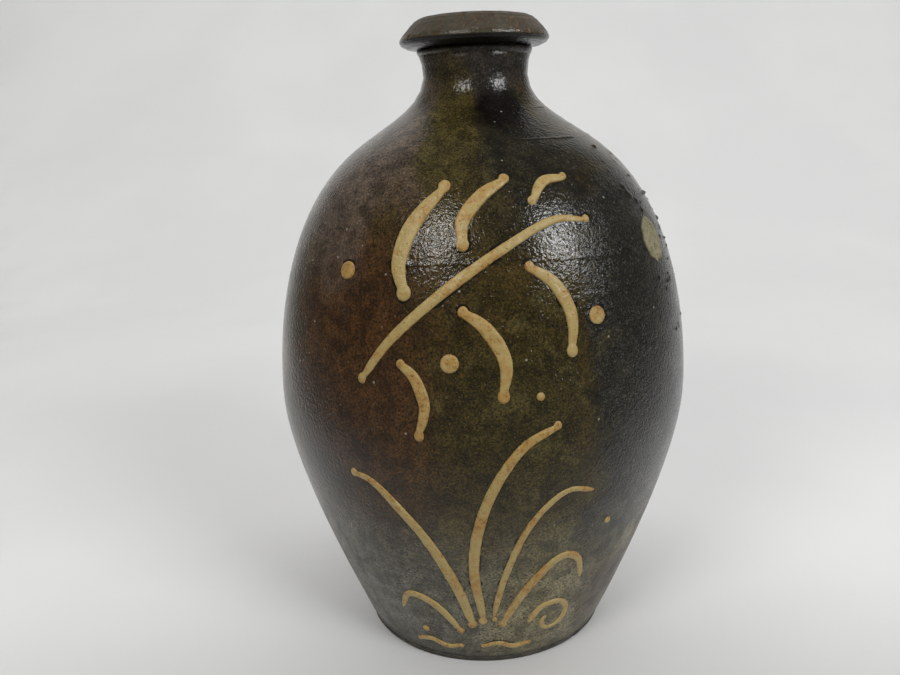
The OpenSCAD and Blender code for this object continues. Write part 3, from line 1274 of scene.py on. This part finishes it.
    def _spots(self, turn: np.ndarray, height: np.ndarray, radius: np.ndarray) -> np.ndarray:
        """Pits, nicks, crumbs under the glaze and the burst bubble on the neck.

        Args:
            turn: azimuths.
            height: heights.
            radius: radii.

        Returns:
            Lifts of the glaze.
        """
        dice = np.random.default_rng(self.seed)
        pits = [
            (dice.uniform(-180, 180), dice.uniform(6, 186), dice.uniform(0.45, 0.8), -dice.uniform(0.08, 0.2))
            for _ in range(self.pit_count)
        ]
        nicks = [
            (dice.normal(-50, 5), dice.normal(44, 7), dice.uniform(0.4, 0.8), -0.28)
            for _ in range(self.nick_count)
        ]
        crumbs = [
            (dice.uniform(52, 104), dice.uniform(100, 160), dice.uniform(0.5, 1.0), dice.uniform(0.12, 0.34))
            for _ in range(self.crumb_count)
        ]
        burst = [(*self.bubble, 0.8, -0.75), (*self.bubble, 1.5, 0.38)]
        low_pits = [(-8.0, 15.0, 0.7, -0.25), (17.0, 13.0, 0.7, -0.25)]
        total = np.zeros(len(turn))
        order = np.argsort(height, kind="stable")
        sorted_height = height[order]
        for at, z, wide, lift in pits + nicks + crumbs + burst + low_pits:
            first, last = np.searchsorted(sorted_height, (z - 3 * wide, z + 3 * wide))
            near = order[first:last]
            x = np.radians(angle_between(turn[near], at)) * radius[near]
            total[near] += lift * np.exp(-((x / wide) ** 2) - ((height[near] - z) / wide) ** 2)
        return total

    def _paints(
        self, place: np.ndarray, turn: np.ndarray, height: np.ndarray, warp: np.ndarray,
        near_slip: np.ndarray, lobe: np.ndarray,
    ) -> dict[str, np.ndarray]:
        """Painted values of the coat.

        Args:
            place: points of the coat.
            turn: their azimuths.
            height: their heights, in millimetres.
            warp: noise that makes zones ragged.
            near_slip: their distances from the slip, in millimetres.
            lobe: cover of the charcoal run.

        Returns:
            Values by name: tint, grainy, sooty, gold, dry and pool.
        """
        fray = warp + 0.5 * Grain(self.seed + 3).layered(place, 4 * MM, 3, 0.6)
        tint = np.tile(self.umber, (len(place), 1))
        low = 1 - smoothstep(32, 66, height + 7 * fray)
        for patch in self.zones():
            share = patch.cover(turn, height, fray)[:, None]
            tint = tint * (1 - share) + np.array(patch.colour) * share
        warm = (smoothstep(-14, 18, turn + 6 * fray) * (1 - smoothstep(80, 130, turn + 9 * fray)))[:, None]
        ground = np.array(self.slate) * (1 - warm) + np.array(self.sedge) * warm
        share = (low * (1 - 0.55 * lobe))[:, None]
        tint = tint * (1 - share) + ground * share
        brick = Patch(50, 23, 13, 14, self.brick, 0.85, 0.4, 0.4).cover(turn, height, fray)[:, None]
        tint = tint * (1 - brick) + np.array(self.brick) * brick
        hem = 1 - smoothstep(2.0, 9.0, height + 1.5 * fray)
        tint = tint * (1 - 0.5 * hem)[:, None]
        radius = radius_of(place) / MM
        for scratch in self.scratches():
            dark = np.clip(scratch.depth_at(turn, height, radius) / scratch.depth * 1.3, 0, 1)[:, None]
            tint = tint * (1 - 0.95 * dark)
        olive = Patch(6, 85, 26, 60, self.bog, 1.0, 0.5, 0.3).cover(turn, height, fray)
        band = np.max([run.cover(turn, height, fray) for run in self.olive_run()], axis=0)
        neck = smoothstep(150, 175, height)
        return {
            "tint": tint,
            "grainy": np.clip(0.12 + 0.7 * lobe + 0.35 * low - 0.1 * neck, 0, 1),
            "sooty": np.clip(0.6 + 0.3 * low + 0.2 * fray, 0, 1),
            "gold": np.clip(0.12 + 0.8 * olive + 0.3 * low + 0.9 * band, 0, 1),
            "dry": np.clip(0.12 + 0.66 * low + 0.1 * lobe + 0.1 * fray, 0, 1),
            "pool": 0.95 * (1 - smoothstep(0.35, 1.2, near_slip)),
        }


# ----------------------------------------------------------------------------------------- clay and the rest


@dataclass
class ClayBody:
    """The clay sections under the glaze: floor with the bare foot, walls, shoulder, neck and folded lip."""

    inset: float = 0.75 * MM
    lip_inset: float = 1.5 * MM
    around: int = 192
    foot_around: int = 384
    cord_pitch: float = 2.3
    cord_depth: float = 0.13
    cord_middle: tuple[float, float] = (31.0, 9.0)
    throat_reach: float = 15 * MM
    seed: int = 31
    sections: tuple[str, ...] = ("lower_wall", "upper_wall", "shoulder", "neck", "lip_ring")

    def build(self, clay: ClayFinish, liner: LinerFinish) -> list[bpy.types.Object]:
        """Builds every clay section.

        Args:
            clay: finish of the clay.
            liner: finish of the throat, which the neck shows inside.

        Returns:
            The sections.
        """
        clay_material, liner_material = clay.material(), liner.material()
        made = [self._foot(clay_material)]
        for node in self.sections:
            made.append(self._section(node, clay_material, liner_material))
        return made

    def _section(self, node: str, clay: bpy.types.Material, liner: bpy.types.Material) -> bpy.types.Object:
        """One ring of clay, held back from the glaze that covers it.

        Args:
            node: frame node of the section.
            clay: material of the clay.
            liner: material of the throat, for the neck's inside.

        Returns:
            The section.
        """
        shape = Turned.from_node(node, self.around, 1.5 * MM, 1.5 * MM)
        place, out = shape.points(), shape.normals()
        facing = shape.spread(shape.facing[:, 0])
        folded = node == "lip_ring"
        covered = smoothstep(0.1, 0.6, np.ones_like(facing) if folded else facing)
        bumps = 0.05 * Grain(self.seed).smooth(place, 5 * MM) * MM
        lift = bumps - (self.lip_inset if folded else self.inset) * covered
        mesh = shape.mesh(node, HAND.moved(place + out * lift[:, None]))
        if node == "neck":
            inner = (shape.rows[:, 0] < self.throat_reach) & (shape.facing[:, 0] < -0.5)
            rows = np.arange(len(mesh.polygons)) // self.around
            piece = dress(mesh, "clay_neck", Slot.CLAY, [node], clay, liner)
            mesh.polygons.foreach_set("material_index", inner[rows].astype(np.int32))
            mesh.update()
            return piece
        return dress(mesh, f"clay_{node}", Slot.CLAY, [node], clay)

    def _foot(self, clay: bpy.types.Material) -> bpy.types.Object:
        """The floor, with cord marks underneath and a worn bare edge.

        Args:
            clay: material of the clay.

        Returns:
            The floor.
        """
        shape = Turned.from_node("base_disc", self.foot_around, 0.5 * MM, 0.8 * MM)
        place, out = shape.points(), shape.normals()
        radius = radius_of(place) / MM
        height = place[:, 2] / MM
        under = smoothstep(0.6, 0.95, -out[:, 2]) * (1 - smoothstep(1.0, 2.0, height))
        grain = Grain(self.seed + 10)
        away = place[:, :2] / MM - self.cord_middle
        reach = np.hypot(*away.T) + 0.7 * grain.smooth(place, 9 * MM)
        cord = self.cord_depth * (0.5 + 0.5 * np.sin(reach / self.cord_pitch * 2 * math.pi)) ** 1.5
        inner = 1 - smoothstep(35.5, 39.0, radius)
        lift = -under * (cord + 0.12 + 0.1 * grain.smooth(place, 3 * MM)) * inner
        side = smoothstep(0.5, 0.9, radius_of(out)) * (radius > 30)
        lift += side * (1 - smoothstep(1.4, 2.2, height)) * (0.1 * grain.layered(place, 3 * MM, 3) - 0.04)
        lift -= self.inset / MM * side * smoothstep(2.2, 3.4, height)
        mesh = shape.mesh("foot", HAND.moved(place + out * (lift * MM)[:, None]))
        spots = read_points(mesh)
        paint(mesh, ashy=0.97 * smoothstep(37.5, 39.5, radius_of(spots) / MM))
        return dress(mesh, "clay_foot", Slot.CLAY, ["base_disc"], clay)


@dataclass
class LipCoat:
    """The drier glaze folded over the lip and into the mouth."""

    around: int = 560
    ring_step: float = 0.22 * MM
    slump: float = 0.6
    uneven_slump: float = 0.12
    seed: int = 51

    def build(self, finish: LipFinish) -> bpy.types.Object:
        """Builds the lip's coat.

        Args:
            finish: the coat's finish.

        Returns:
            The coat.
        """
        shape = Turned.from_node("lip_glaze", self.around, self.ring_step, 0.6 * MM)
        place, out = shape.points(), shape.normals()
        turn, height = azimuth_of(place), place[:, 2] / MM
        radius = radius_of(place) / MM
        low, high = (corner.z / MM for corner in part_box("lip_glaze"))
        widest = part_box("lip_glaze")[1].x / MM
        grain = Grain(self.seed)
        shown = self._shown(shape)
        skin = 0.12 * grain.smooth(place, 14 * MM) + 0.04 * grain.smooth(place, 5 * MM)
        peel = 0.035 * grain.smooth(place, 1.5 * MM)
        rings = 0.05 * np.sin((radius + 0.4 * grain.smooth(place, 14 * MM)) / 1.5 * 2 * math.pi)
        rings *= smoothstep(0.6, 0.9, out[:, 2])
        worn = smoothstep(0.52, 0.8, grain.smooth(place, 2.4 * MM))
        nicks = -0.22 * worn * smoothstep(-0.2, 0.4, out[:, 2])
        slump = self.slump - self.uneven_slump * np.sin(np.radians(turn))
        flat = -slump * np.exp(-(((height - high + 3.4) / 2.5) ** 2)) * smoothstep(17.0, 19.5, radius)
        tuck = -0.75 * np.exp(-(((radius - widest + 0.6) / 1.1) ** 2)) * smoothstep(0.0, -0.7, out[:, 2])
        lift = (skin + peel + rings + nicks + flat + tuck) * shown - (0.1 + flat) * (1 - shown)
        mesh = shape.mesh("lip_coat", HAND.moved(place + out * (lift * MM)[:, None]))
        # painted shade: the underside of the lip and the top of the throat are marked as shade, which the
        # finish paints near black
        wave = 0.18 * grain.smooth(place, 7 * MM)
        under = (1 - smoothstep(low + 2.35, low + 2.85, height + wave)) * smoothstep(15.5, 16.5, radius)
        throat = 1 - smoothstep(11.2, 14.0, radius)
        warm = smoothstep(0.1, 0.7, np.sin(np.radians(turn)) + 0.4 * grain.smooth(place, 6 * MM))
        edge = np.exp(-(((radius - widest) / 1.2) ** 2))
        paint(mesh, rusty=np.clip(0.35 + 0.55 * warm, 0, 1),
              shade=np.clip(0.97 * under + 0.75 * throat * smoothstep(high - 3, high, height), 0, 0.97),
              glossy=np.clip(under + edge * (1 - smoothstep(low + 3.4, low + 4.6, height)), 0, 1))
        return dress(mesh, "lip_coat", Slot.LIP_GLAZE, ["lip_glaze"], finish.material())

    @staticmethod
    def _shown(shape: Turned) -> np.ndarray:
        """1 on the coat's outer face, 0 on its hidden inner face."""
        return shape.spread(shape.main.astype(float))


@dataclass
class Liner:
    """The glaze inside the bottle."""

    around: int = 256
    seed: int = 61

    def build(self, finish: LinerFinish) -> bpy.types.Object:
        """Builds the liner.

        Args:
            finish: the liner's finish.

        Returns:
            The liner.
        """
        shape = Turned.from_node("inner_glaze", self.around, 1.4 * MM, 1.4 * MM, Side.IN)
        place, out = shape.points(), shape.normals()
        height = place[:, 2] / MM
        inward = smoothstep(0.0, 0.5, -shape.spread(shape.facing[:, 0])) + smoothstep(0.5, 0.9, out[:, 2])
        ripple = 0.12 * np.sin((height + 0.8 * Grain(self.seed).smooth(place, 30 * MM)) / 6.5 * 2 * math.pi)
        lift = np.clip(inward, 0, 1) * (ripple + 0.06 * Grain(self.seed + 1).smooth(place, 6 * MM) + 0.1)
        mesh = shape.mesh("liner", HAND.moved(place + out * (lift * MM)[:, None]))
        return dress(mesh, "inner_liner", Slot.LINER_GLAZE, ["inner_glaze"], finish.material())


# ----------------------------------------------------------------------------------------------- trailed slip


@dataclass
class TrailedSlip:
    """Raised lines and drops of slip squeezed onto the front, in a spray of leaves above and reeds below."""

    wall: BodyCoat
    voxel: float = 0.24 * MM
    smoothing: int = 5
    sink: float = 0.17 * MM
    swell: float = 0.16
    crown: float = 1.05 * MM
    seed: int = 71
    drops: tuple[str, ...] = ("berry_left", "berry_middle", "berry_right", "seeds")
    plain: tuple[str, ...] = ("reed_curl",)
    tip_sizes: tuple[float, float] = (0.82, 0.98)
    meshes: dict[str, bpy.types.Mesh] = field(default_factory=dict)
    tips: dict[str, list[np.ndarray]] = field(default_factory=dict)
    outline: np.ndarray = field(init=False)

    def __post_init__(self) -> None:
        """Keeps the wall's outline as heights and radii."""
        rows = self.wall.shape.rows[self.wall.shape.main]
        self.outline = rows[np.argsort(rows[:, 1])]

    def wall_radius(self, height: np.ndarray) -> np.ndarray:
        """Radius of the even wall at each height, in metres."""
        return np.interp(height, self.outline[:, 1], self.outline[:, 0])

    def names(self) -> list[str]:
        """Every slip node of the frame."""
        slotted = {part["node"]: part.get("material_slot") for part in frame["record"]["subparts"]}
        return sorted(node for node in frame["nodes"] if slotted.get(node) == Slot.SLIP.value)

    def shape_all(self) -> np.ndarray:
        """Shapes every line and drop.

        Returns:
            All their points on the true round bottle, for the coat to climb to.
        """
        found = []
        for node in self.names():
            mesh = self._even(frame["nodes"][node].data, node)
            self.meshes[node] = mesh
            found.append(self._shaped(mesh, node))
        return np.vstack(found)

    def _even(self, source: bpy.types.Mesh, name: str) -> bpy.types.Mesh:
        """Even, rounded copy of a frame mesh.

        Args:
            source: mesh of the frame node.
            name: name of the node.

        Returns:
            The copy.
        """
        holder = bpy.data.objects.new(f"{name}_holder", self._with_ends(source, name))
        bpy.context.scene.collection.objects.link(holder)
        remesh = holder.modifiers.new("even", "REMESH")
        remesh.mode, remesh.voxel_size = "VOXEL", self.voxel
        soften = holder.modifiers.new("soften", "SMOOTH")
        soften.factor, soften.iterations = 0.5, self.smoothing
        made = bpy.data.meshes.new_from_object(holder.evaluated_get(bpy.context.evaluated_depsgraph_get()))
        bpy.data.objects.remove(holder)
        made.name = name
        made.materials.clear()
        return made

    def _with_ends(self, source: bpy.types.Mesh, name: str) -> bpy.types.Mesh:
        """Adds a round blob at each tip of a line, where the trailer was set down and lifted.

        Args:
            source: mesh of the frame node.
            name: name of the node.

        Returns:
            A copy with the blobs, or a plain copy of a drop or a closed curl.
        """
        if name in self.drops or name in self.plain:
            return source.copy()
        points = read_points(source)
        first = points[np.argmax(np.linalg.norm(points - points.mean(0), axis=1))]
        second = points[np.argmax(np.linalg.norm(points - first, axis=1))]
        tips = sorted((first, second), key=lambda tip: tip[2], reverse=True)
        thick = float(self.rise_over_wall(points).max())
        self.tips[name] = tips
        shape = bmesh.new()
        shape.from_mesh(source)
        for tip, size in zip(tips, self.tip_sizes):
            inner = points[np.linalg.norm(points - tip, axis=1) < 3.2 * thick].mean(0)
            place = tip + (inner - tip) * 0.85 * thick / np.linalg.norm(inner - tip)
            turn = math.atan2(place[0], -place[1])
            radius = float(self.wall_radius(place[2]))
            spot = Matrix.Translation((radius * math.sin(turn), -radius * math.cos(turn), place[2]))
            spin = Matrix.Rotation(turn, 4, "Z")
            squash = Matrix.Diagonal((size * thick, 0.82 * thick, 1.15 * size * thick, 1.0))
            bmesh.ops.create_icosphere(shape, subdivisions=3, radius=1.0, matrix=spot @ spin @ squash)
        made = bpy.data.meshes.new(f"{name}_with_ends")
        shape.to_mesh(made)
        shape.free()
        return made

    def rise_over_wall(self, points: np.ndarray) -> np.ndarray:
        """Height of points over the even wall.

        Args:
            points: places on the true round bottle.

        Returns:
            Heights in metres, square to the wall.
        """
        radius, ahead = self.wall_radius(points[:, 2]), self.wall_radius(points[:, 2] + MM)
        lean = np.arctan2(ahead - radius, MM)
        return (radius_of(points) - radius) * np.cos(lean)

    def _shaped(self, mesh: bpy.types.Mesh, node: str) -> np.ndarray:
        """Gives one line its uneven hand-squeezed swell, and paints its thickness.

        Args:
            mesh: mesh of the line, which is changed.
            node: name of its node.

        Returns:
            Its points close to the wall.
        """
        points = read_points(mesh)
        rise = self.rise_over_wall(points)
        grain = Grain(self.seed)
        above, under = self.wall_radius(points[:, 2] + MM), self.wall_radius(points[:, 2] - MM)
        turn = np.radians(azimuth_of(points))
        out = np.c_[np.sin(turn), -np.cos(turn), (under - above) / (2 * MM)]
        out /= np.linalg.norm(out, axis=1)[:, None]
        uneven = 1.0 + self.swell * grain.smooth(points, 5 * MM) + 0.09 * grain.smooth(points, 1.6 * MM)
        domed = self.crown * np.tanh(np.maximum(rise, 0.0) / (0.8 * self.crown))
        target = domed * uneven - self.sink
        side = 0.09 * MM * Grain(self.seed + 1).smooth(points, 2.2 * MM)
        along = np.c_[np.cos(turn), np.sin(turn), np.zeros_like(turn)]
        points = points + out * (target - rise)[:, None] + along * side[:, None]
        thick = np.clip((target + self.sink) / (1.2 * MM), 0.0, 1.0)
        warm = 0.4 + 0.55 * grain.layered(points, 11 * MM, 4) + (0.35 if node in self.drops else 0.0)
        for tip in self.tips.get(node, []):
            warm += 0.5 * np.exp(-((np.linalg.norm(points - tip, axis=1) / (3.0 * MM)) ** 2))
        warm = np.clip(warm, 0, 1)
        write_points(mesh, points)
        paint(mesh, thick=thick, warm=warm)
        return points[rise < 0.5 * MM]

    def build(self, finish: SlipFinish) -> list[bpy.types.Object]:
        """Puts the shaped lines and drops into the scene.

        Args:
            finish: finish of the slip.

        Returns:
            The pieces.
        """
        material = finish.material()
        made = []
        for node, mesh in self.meshes.items():
            write_points(mesh, HAND.moved(read_points(mesh)))
            made.append(dress(mesh, f"slip_{node}", Slot.SLIP, [node], material))
        return made


# ----------------------------------------------------------------------------------------------- kiln marks


@dataclass
class KilnMarks:
    """The pale crust and the fused crumbs on the right of the shoulder."""

    slip: TrailedSlip
    spokes: int = 96
    rings: int = 34
    crust: float = 0.5 * MM
    seed: int = 91

    def build(self, scar: ScarFinish, grit: GritFinish) -> list[bpy.types.Object]:
        """Builds the crust and the crumbs.

        Args:
            scar: finish of the crust.
            grit: finish of the crumbs.

        Returns:
            The crust, then the crumbs.
        """
        return [self._crust(scar), self._crumbs(grit)]

    def _on_wall(self, turn: np.ndarray, height: np.ndarray, lift: np.ndarray) -> np.ndarray:
        """Points on the bottle.

        Args:
            turn: azimuths, in radians.
            height: heights, in metres.
            lift: heights over the wall, in metres.

        Returns:
            The points.
        """
        radius = self.slip.wall_radius(height)
        slope = (self.slip.wall_radius(height + MM) - radius) / MM
        size = np.hypot(1.0, slope)
        r = radius + lift / size
        return np.c_[r * np.sin(turn), -r * np.cos(turn), height - lift * slope / size]

    def _crust(self, finish: ScarFinish) -> bpy.types.Object:
        """An uneven oval crust with a burnt, sunken rim.

        Args:
            finish: its finish.

        Returns:
            The crust.
        """
        low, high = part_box("kiln_scar")
        middle = (low + high) / 2
        turn_0, height_0 = math.atan2(middle.x, -middle.y), middle.z
        reach = (high.z - low.z) / 2 * 1.3
        radius = math.hypot(middle.x, middle.y)
        spoke = np.tile(np.arange(self.spokes) * 2 * math.pi / self.spokes, self.rings)
        ring = np.repeat(np.linspace(0.03, 1.0, self.rings), self.spokes)
        round_seed = np.c_[np.cos(spoke), np.sin(spoke), np.zeros_like(spoke)]
        wide = 1.0 + 0.16 * Grain(self.seed).layered(round_seed, 0.9, 3)
        x, y = ring * reach * wide * np.cos(spoke) * 0.86, ring * reach * wide * np.sin(spoke)
        spots = np.c_[x, y, np.zeros_like(x)]
        crackle = Grain(self.seed + 1)
        inside = 1 - ring**6
        lift = self.crust * (1.1 - 1.3 * ring**9) + 0.14 * MM * crackle.layered(spots, 3 * MM, 4) * inside
        lift -= 0.35 * MM * smoothstep(0.45, 0.8, crackle.smooth(spots, 2.2 * MM)) * inside
        points = self._on_wall(turn_0 + x / radius, height_0 + y * 0.9, lift)
        base = self._on_wall(turn_0 + x[-self.spokes:] / radius, height_0 + y[-self.spokes:] * 0.9,
                             np.full(self.spokes, -0.8 * MM))
        centre = self._on_wall(np.array([turn_0]), np.array([height_0]), np.array([0.62 * self.crust]))
        deep = self._on_wall(np.array([turn_0]), np.array([height_0]), np.array([-0.9 * MM]))
        every = np.vstack([points, base, centre, deep])
        faces = self._fan_faces()
        mesh = bpy.data.meshes.new("scar_crust")
        mesh.from_pydata(HAND.moved(every).tolist(), [], faces)
        mesh.validate()
        burnt = smoothstep(0.8, 0.94, ring + 0.05 * crackle.smooth(spots, 2 * MM))
        rim = np.concatenate([burnt, np.ones(self.spokes), [0.0, 1.0]])
        paint(mesh, rim=rim)
        return dress(mesh, "scar_crust", Slot.SCAR, ["kiln_scar"], finish.material())

    def _fan_faces(self) -> list[tuple[int, ...]]:
        """Faces of the crust: its top from the middle out, its buried side and its underside.

        Returns:
            Numbers of the points of each face.
        """
        n, rows = self.spokes, self.rings + 1
        top, deep = rows * n, rows * n + 1
        faces: list[tuple[int, ...]] = []
        for j in range(n):
            k = (j + 1) % n
            faces.append((top, j, k))
            faces += [(i * n + j, (i + 1) * n + j, (i + 1) * n + k, i * n + k) for i in range(rows - 1)]
            faces.append((deep, (rows - 1) * n + k, (rows - 1) * n + j))
        return faces

    def _crumbs(self, finish: GritFinish) -> bpy.types.Object:
        """An angular melted crumb at each crumb of the frame.

        Args:
            finish: their finish.

        Returns:
            All the crumbs as one piece.
        """
        shape = bmesh.new()
        for n, (middle, size) in enumerate(self._crumb_places()):
            made = bmesh.ops.create_icosphere(shape, subdivisions=4, radius=1.0)["verts"]
            ball = np.array([v.co for v in made])
            lump = 1.0 + 0.24 * Grain(self.seed + n).layered(ball + 3.1 * n, 0.9, 3)
            spin = Matrix.Rotation(n * 2.4, 3, "Z") @ Matrix.Rotation(n * 1.3, 3, "X")
            squash = np.array([1.15, 0.92, 0.8])
            sunk = middle - np.array([middle[0], middle[1], 0.0]) / math.hypot(*middle[:2]) * size * 0.62
            placed = (ball * lump[:, None] * squash) @ np.array(spin).T * size + sunk
            for vertex, point in zip(made, HAND.moved(placed)):
                vertex.co = point
        mesh = bpy.data.meshes.new("fused_crumbs")
        shape.to_mesh(mesh)
        shape.free()
        return dress(mesh, "fused_crumbs", Slot.GRIT, ["kiln_grit"], finish.material())

    @staticmethod
    def _crumb_places() -> list[tuple[np.ndarray, float]]:
        """Finds the crumbs of the frame, each an island of one mesh.

        Returns:
            Middle and radius of each crumb, from the lowest up.
        """
        shape = bmesh.new()
        shape.from_mesh(frame["nodes"]["kiln_grit"].data)
        bmesh.ops.remove_doubles(shape, verts=shape.verts, dist=1e-7)
        left, found = set(shape.verts), []
        while left:
            island, edge = set(), [left.pop()]
            while edge:
                vertex = edge.pop()
                island.add(vertex)
                for link in vertex.link_edges:
                    other = link.other_vert(vertex)
                    if other in left:
                        left.discard(other)
                        edge.append(other)
            points = np.array([v.co for v in island])
            low, high = points.min(0), points.max(0)
            found.append(((low + high) / 2, float((high - low).max()) / 2))
        shape.free()
        return sorted(found, key=lambda crumb: (round(float(crumb[0][2]), 6), round(float(crumb[0][0]), 6)))


# -------------------------------------------------------------------------------------------------- studio


@dataclass(frozen=True)
class Lamp:
    """A soft square light: where it hangs, how large it is and how strong."""

    name: str
    azimuth: float
    elevation: float
    distance: float
    width: float
    height: float
    power: float
    colour: Colour = (1.0, 1.0, 1.0)
    mirrored: bool = True
    lighting: bool = True

    def hang(self, target: Vector) -> bpy.types.Object:
        """Hangs the light so that it looks at a point.

        Args:
            target: the point.

        Returns:
            The light.
        """
        a, e = math.radians(self.azimuth), math.radians(self.elevation)
        way = Vector((math.sin(a) * math.cos(e), -math.cos(a) * math.cos(e), math.sin(e)))
        data = bpy.data.lights.new(self.name, "AREA")
        data.shape, data.size, data.size_y = "RECTANGLE", self.width, self.height
        data.energy, data.color = self.power, self.colour
        lamp = bpy.data.objects.new(self.name, data)
        lamp.location = target + way * self.distance
        lamp.visible_glossy, lamp.visible_diffuse = self.mirrored, self.lighting
        lamp.rotation_mode = "QUATERNION"
        lamp.rotation_quaternion = (-way).to_track_quat("-Z", "Y")
        bpy.context.scene.collection.objects.link(lamp)
        return lamp


@dataclass
class Studio:
    """Pale paper sweep, soft lights and the camera."""

    paper_half_width: float = 1.6
    paper_front: float = -1.4
    paper_back: float = 0.45
    paper_bend: float = 0.8
    paper_top: float = 1.8
    shade_start: float = -0.24
    shade_end: float = 0.02
    bright_half: float = 0.17
    bright_spread: float = 0.525
    side_shade: float = 0.85
    air: float = 0.1
    camera_place: tuple[float, float, float] = (-0.0014, -0.271, 0.1668)
    camera_pitch: float = 14.46
    camera_yaw: float = -1.65
    camera_roll: float = -2.22
    camera_lens: float = 33.2

    def build(self, finish: PaperFinish) -> None:
        """Sets up the paper, the lights, the air and the camera.

        Args:
            finish: finish of the paper.
        """
        self._paper(finish)
        self._lights()
        self._air()
        self._camera()

    def _paper(self, finish: PaperFinish) -> None:
        """A sweep of paper that bends up at the back and is painted darker, as shade, in front of the bottle
        and beside it.

        Args:
            finish: finish of the paper.
        """
        bend = [(math.sin(t) * self.paper_bend, (1 - math.cos(t)) * self.paper_bend)
                for t in np.linspace(0, math.pi / 2, 24)]
        profile = [(y, 0.0) for y in np.linspace(self.paper_front, self.paper_back, 80)[:-1]]
        profile += [(self.paper_back + y, z) for y, z in bend]
        wall = self.paper_back + self.paper_bend
        profile += [(wall, z) for z in np.linspace(self.paper_bend, self.paper_top, 8)[1:]]
        across = np.linspace(-self.paper_half_width, self.paper_half_width, 65)
        points = [(x, y, z) for y, z in profile for x in across]
        wide = len(across)
        faces = [(i * wide + j, i * wide + j + 1, (i + 1) * wide + j + 1, (i + 1) * wide + j)
                 for i in range(len(profile) - 1) for j in range(wide - 1)]
        mesh = bpy.data.meshes.new("paper_sweep")
        mesh.from_pydata(points, [], faces)
        mesh.polygons.foreach_set("use_smooth", [True] * len(faces))
        mesh.materials.append(finish.material())
        x, y, _ = np.array(points).T
        # painted shade: dark in front of the bottle and beside a widening bright wedge behind it
        near = 1 - smoothstep(self.shade_start, self.shade_end, y)
        bright = self.bright_half + self.bright_spread * np.maximum(y, 0.0)
        beside = smoothstep(0.02, 0.22, np.abs(x) - bright)
        paint(mesh, front=np.clip(near + self.side_shade * beside, 0, 1))
        paper = bpy.data.objects.new("paper_sweep", mesh)
        bpy.context.scene.collection.objects.link(paper)

    def _lights(self) -> None:
        """Overhead light, two windows seen in the glaze, soft keys and fills, and a wash on the paper."""
        shoulder = Vector((0.0, 0.0, 0.13))
        Lamp("overhead", 0, 84, 1.5, 2.2, 1.8, 4.1, mirrored=False).hang(shoulder)
        Lamp("ceiling", 0, 84, 1.5, 2.2, 1.8, 1.1).hang(shoulder)
        Lamp("left_window", -29, 42, 1.3, 0.26, 0.3, 4.6, (1.0, 0.98, 0.95), lighting=False).hang(shoulder)
        Lamp("right_window", 54, 34, 1.3, 0.2, 0.42, 7.0, (0.97, 0.98, 1.0), lighting=False).hang(shoulder)
        Lamp("left_key", -34, 27, 1.3, 0.5, 0.5, 7.2, (1.0, 0.99, 0.97), mirrored=False).hang(shoulder)
        Lamp("right_key", 42, 25, 1.3, 0.5, 0.5, 9.4, (0.98, 0.99, 1.0), mirrored=False).hang(shoulder)
        Lamp("left_fill", -112, 30, 1.7, 2.0, 1.5, 4.0, mirrored=False).hang(shoulder)
        Lamp("right_fill", 112, 30, 1.7, 2.0, 1.5, 6.5, mirrored=False).hang(shoulder)
        Lamp("paper_wash", 0, 60, 1.5, 2.6, 0.5, 10.5, mirrored=False).hang(Vector((0.0, 1.0, 0.4)))

    def _air(self) -> None:
        """Faint even light from all round."""
        world = bpy.data.worlds.new("studio_air")
        world.use_nodes = True
        background = world.node_tree.nodes["Background"]
        background.inputs["Color"].default_value = (1.0, 1.0, 1.0, 1.0)
        background.inputs["Strength"].default_value = self.air
        bpy.context.scene.world = world

    def _camera(self) -> None:
        """The camera, level with the root of the neck and turned a little down."""
        pitch, yaw, roll = (math.radians(v) for v in (self.camera_pitch, self.camera_yaw, self.camera_roll))
        ahead = Vector((math.sin(yaw) * math.cos(pitch), math.cos(yaw) * math.cos(pitch), -math.sin(pitch)))
        right = Vector((math.cos(yaw), -math.sin(yaw), 0.0))
        up = right.cross(ahead)
        turned_right = right * math.cos(roll) + up * math.sin(roll)
        turned_up = up * math.cos(roll) - right * math.sin(roll)
        data = bpy.data.cameras.new("camera")
        data.sensor_width, data.lens = 36.0, self.camera_lens
        data.clip_start, data.clip_end = 0.01, 20.0
        camera = bpy.data.objects.new("camera", data)
        turn = Matrix((turned_right, turned_up, -ahead)).transposed().to_4x4()
        camera.matrix_world = Matrix.Translation(Vector(self.camera_place)) @ turn
        bpy.context.scene.collection.objects.link(camera)
        bpy.context.scene.camera = camera
        bpy.context.scene.view_settings.view_transform = "Standard"


def main() -> None:
    """Builds the bottle piece by piece, then the studio."""
    logging.basicConfig(level=logging.INFO, format="%(name)s: %(message)s")
    coat = BodyCoat()
    slip = TrailedSlip(coat)
    slip_points = slip.shape_all()
    coat.build(slip_points, IronGlaze())
    slip.build(SlipFinish())
    liner = LinerFinish()
    ClayBody().build(ClayFinish(), liner)
    LipCoat().build(LipFinish())
    Liner().build(liner)
    KilnMarks(slip).build(ScarFinish(), GritFinish())
    Studio().build(PaperFinish())
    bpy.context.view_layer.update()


if __name__ == "__main__":
    main()
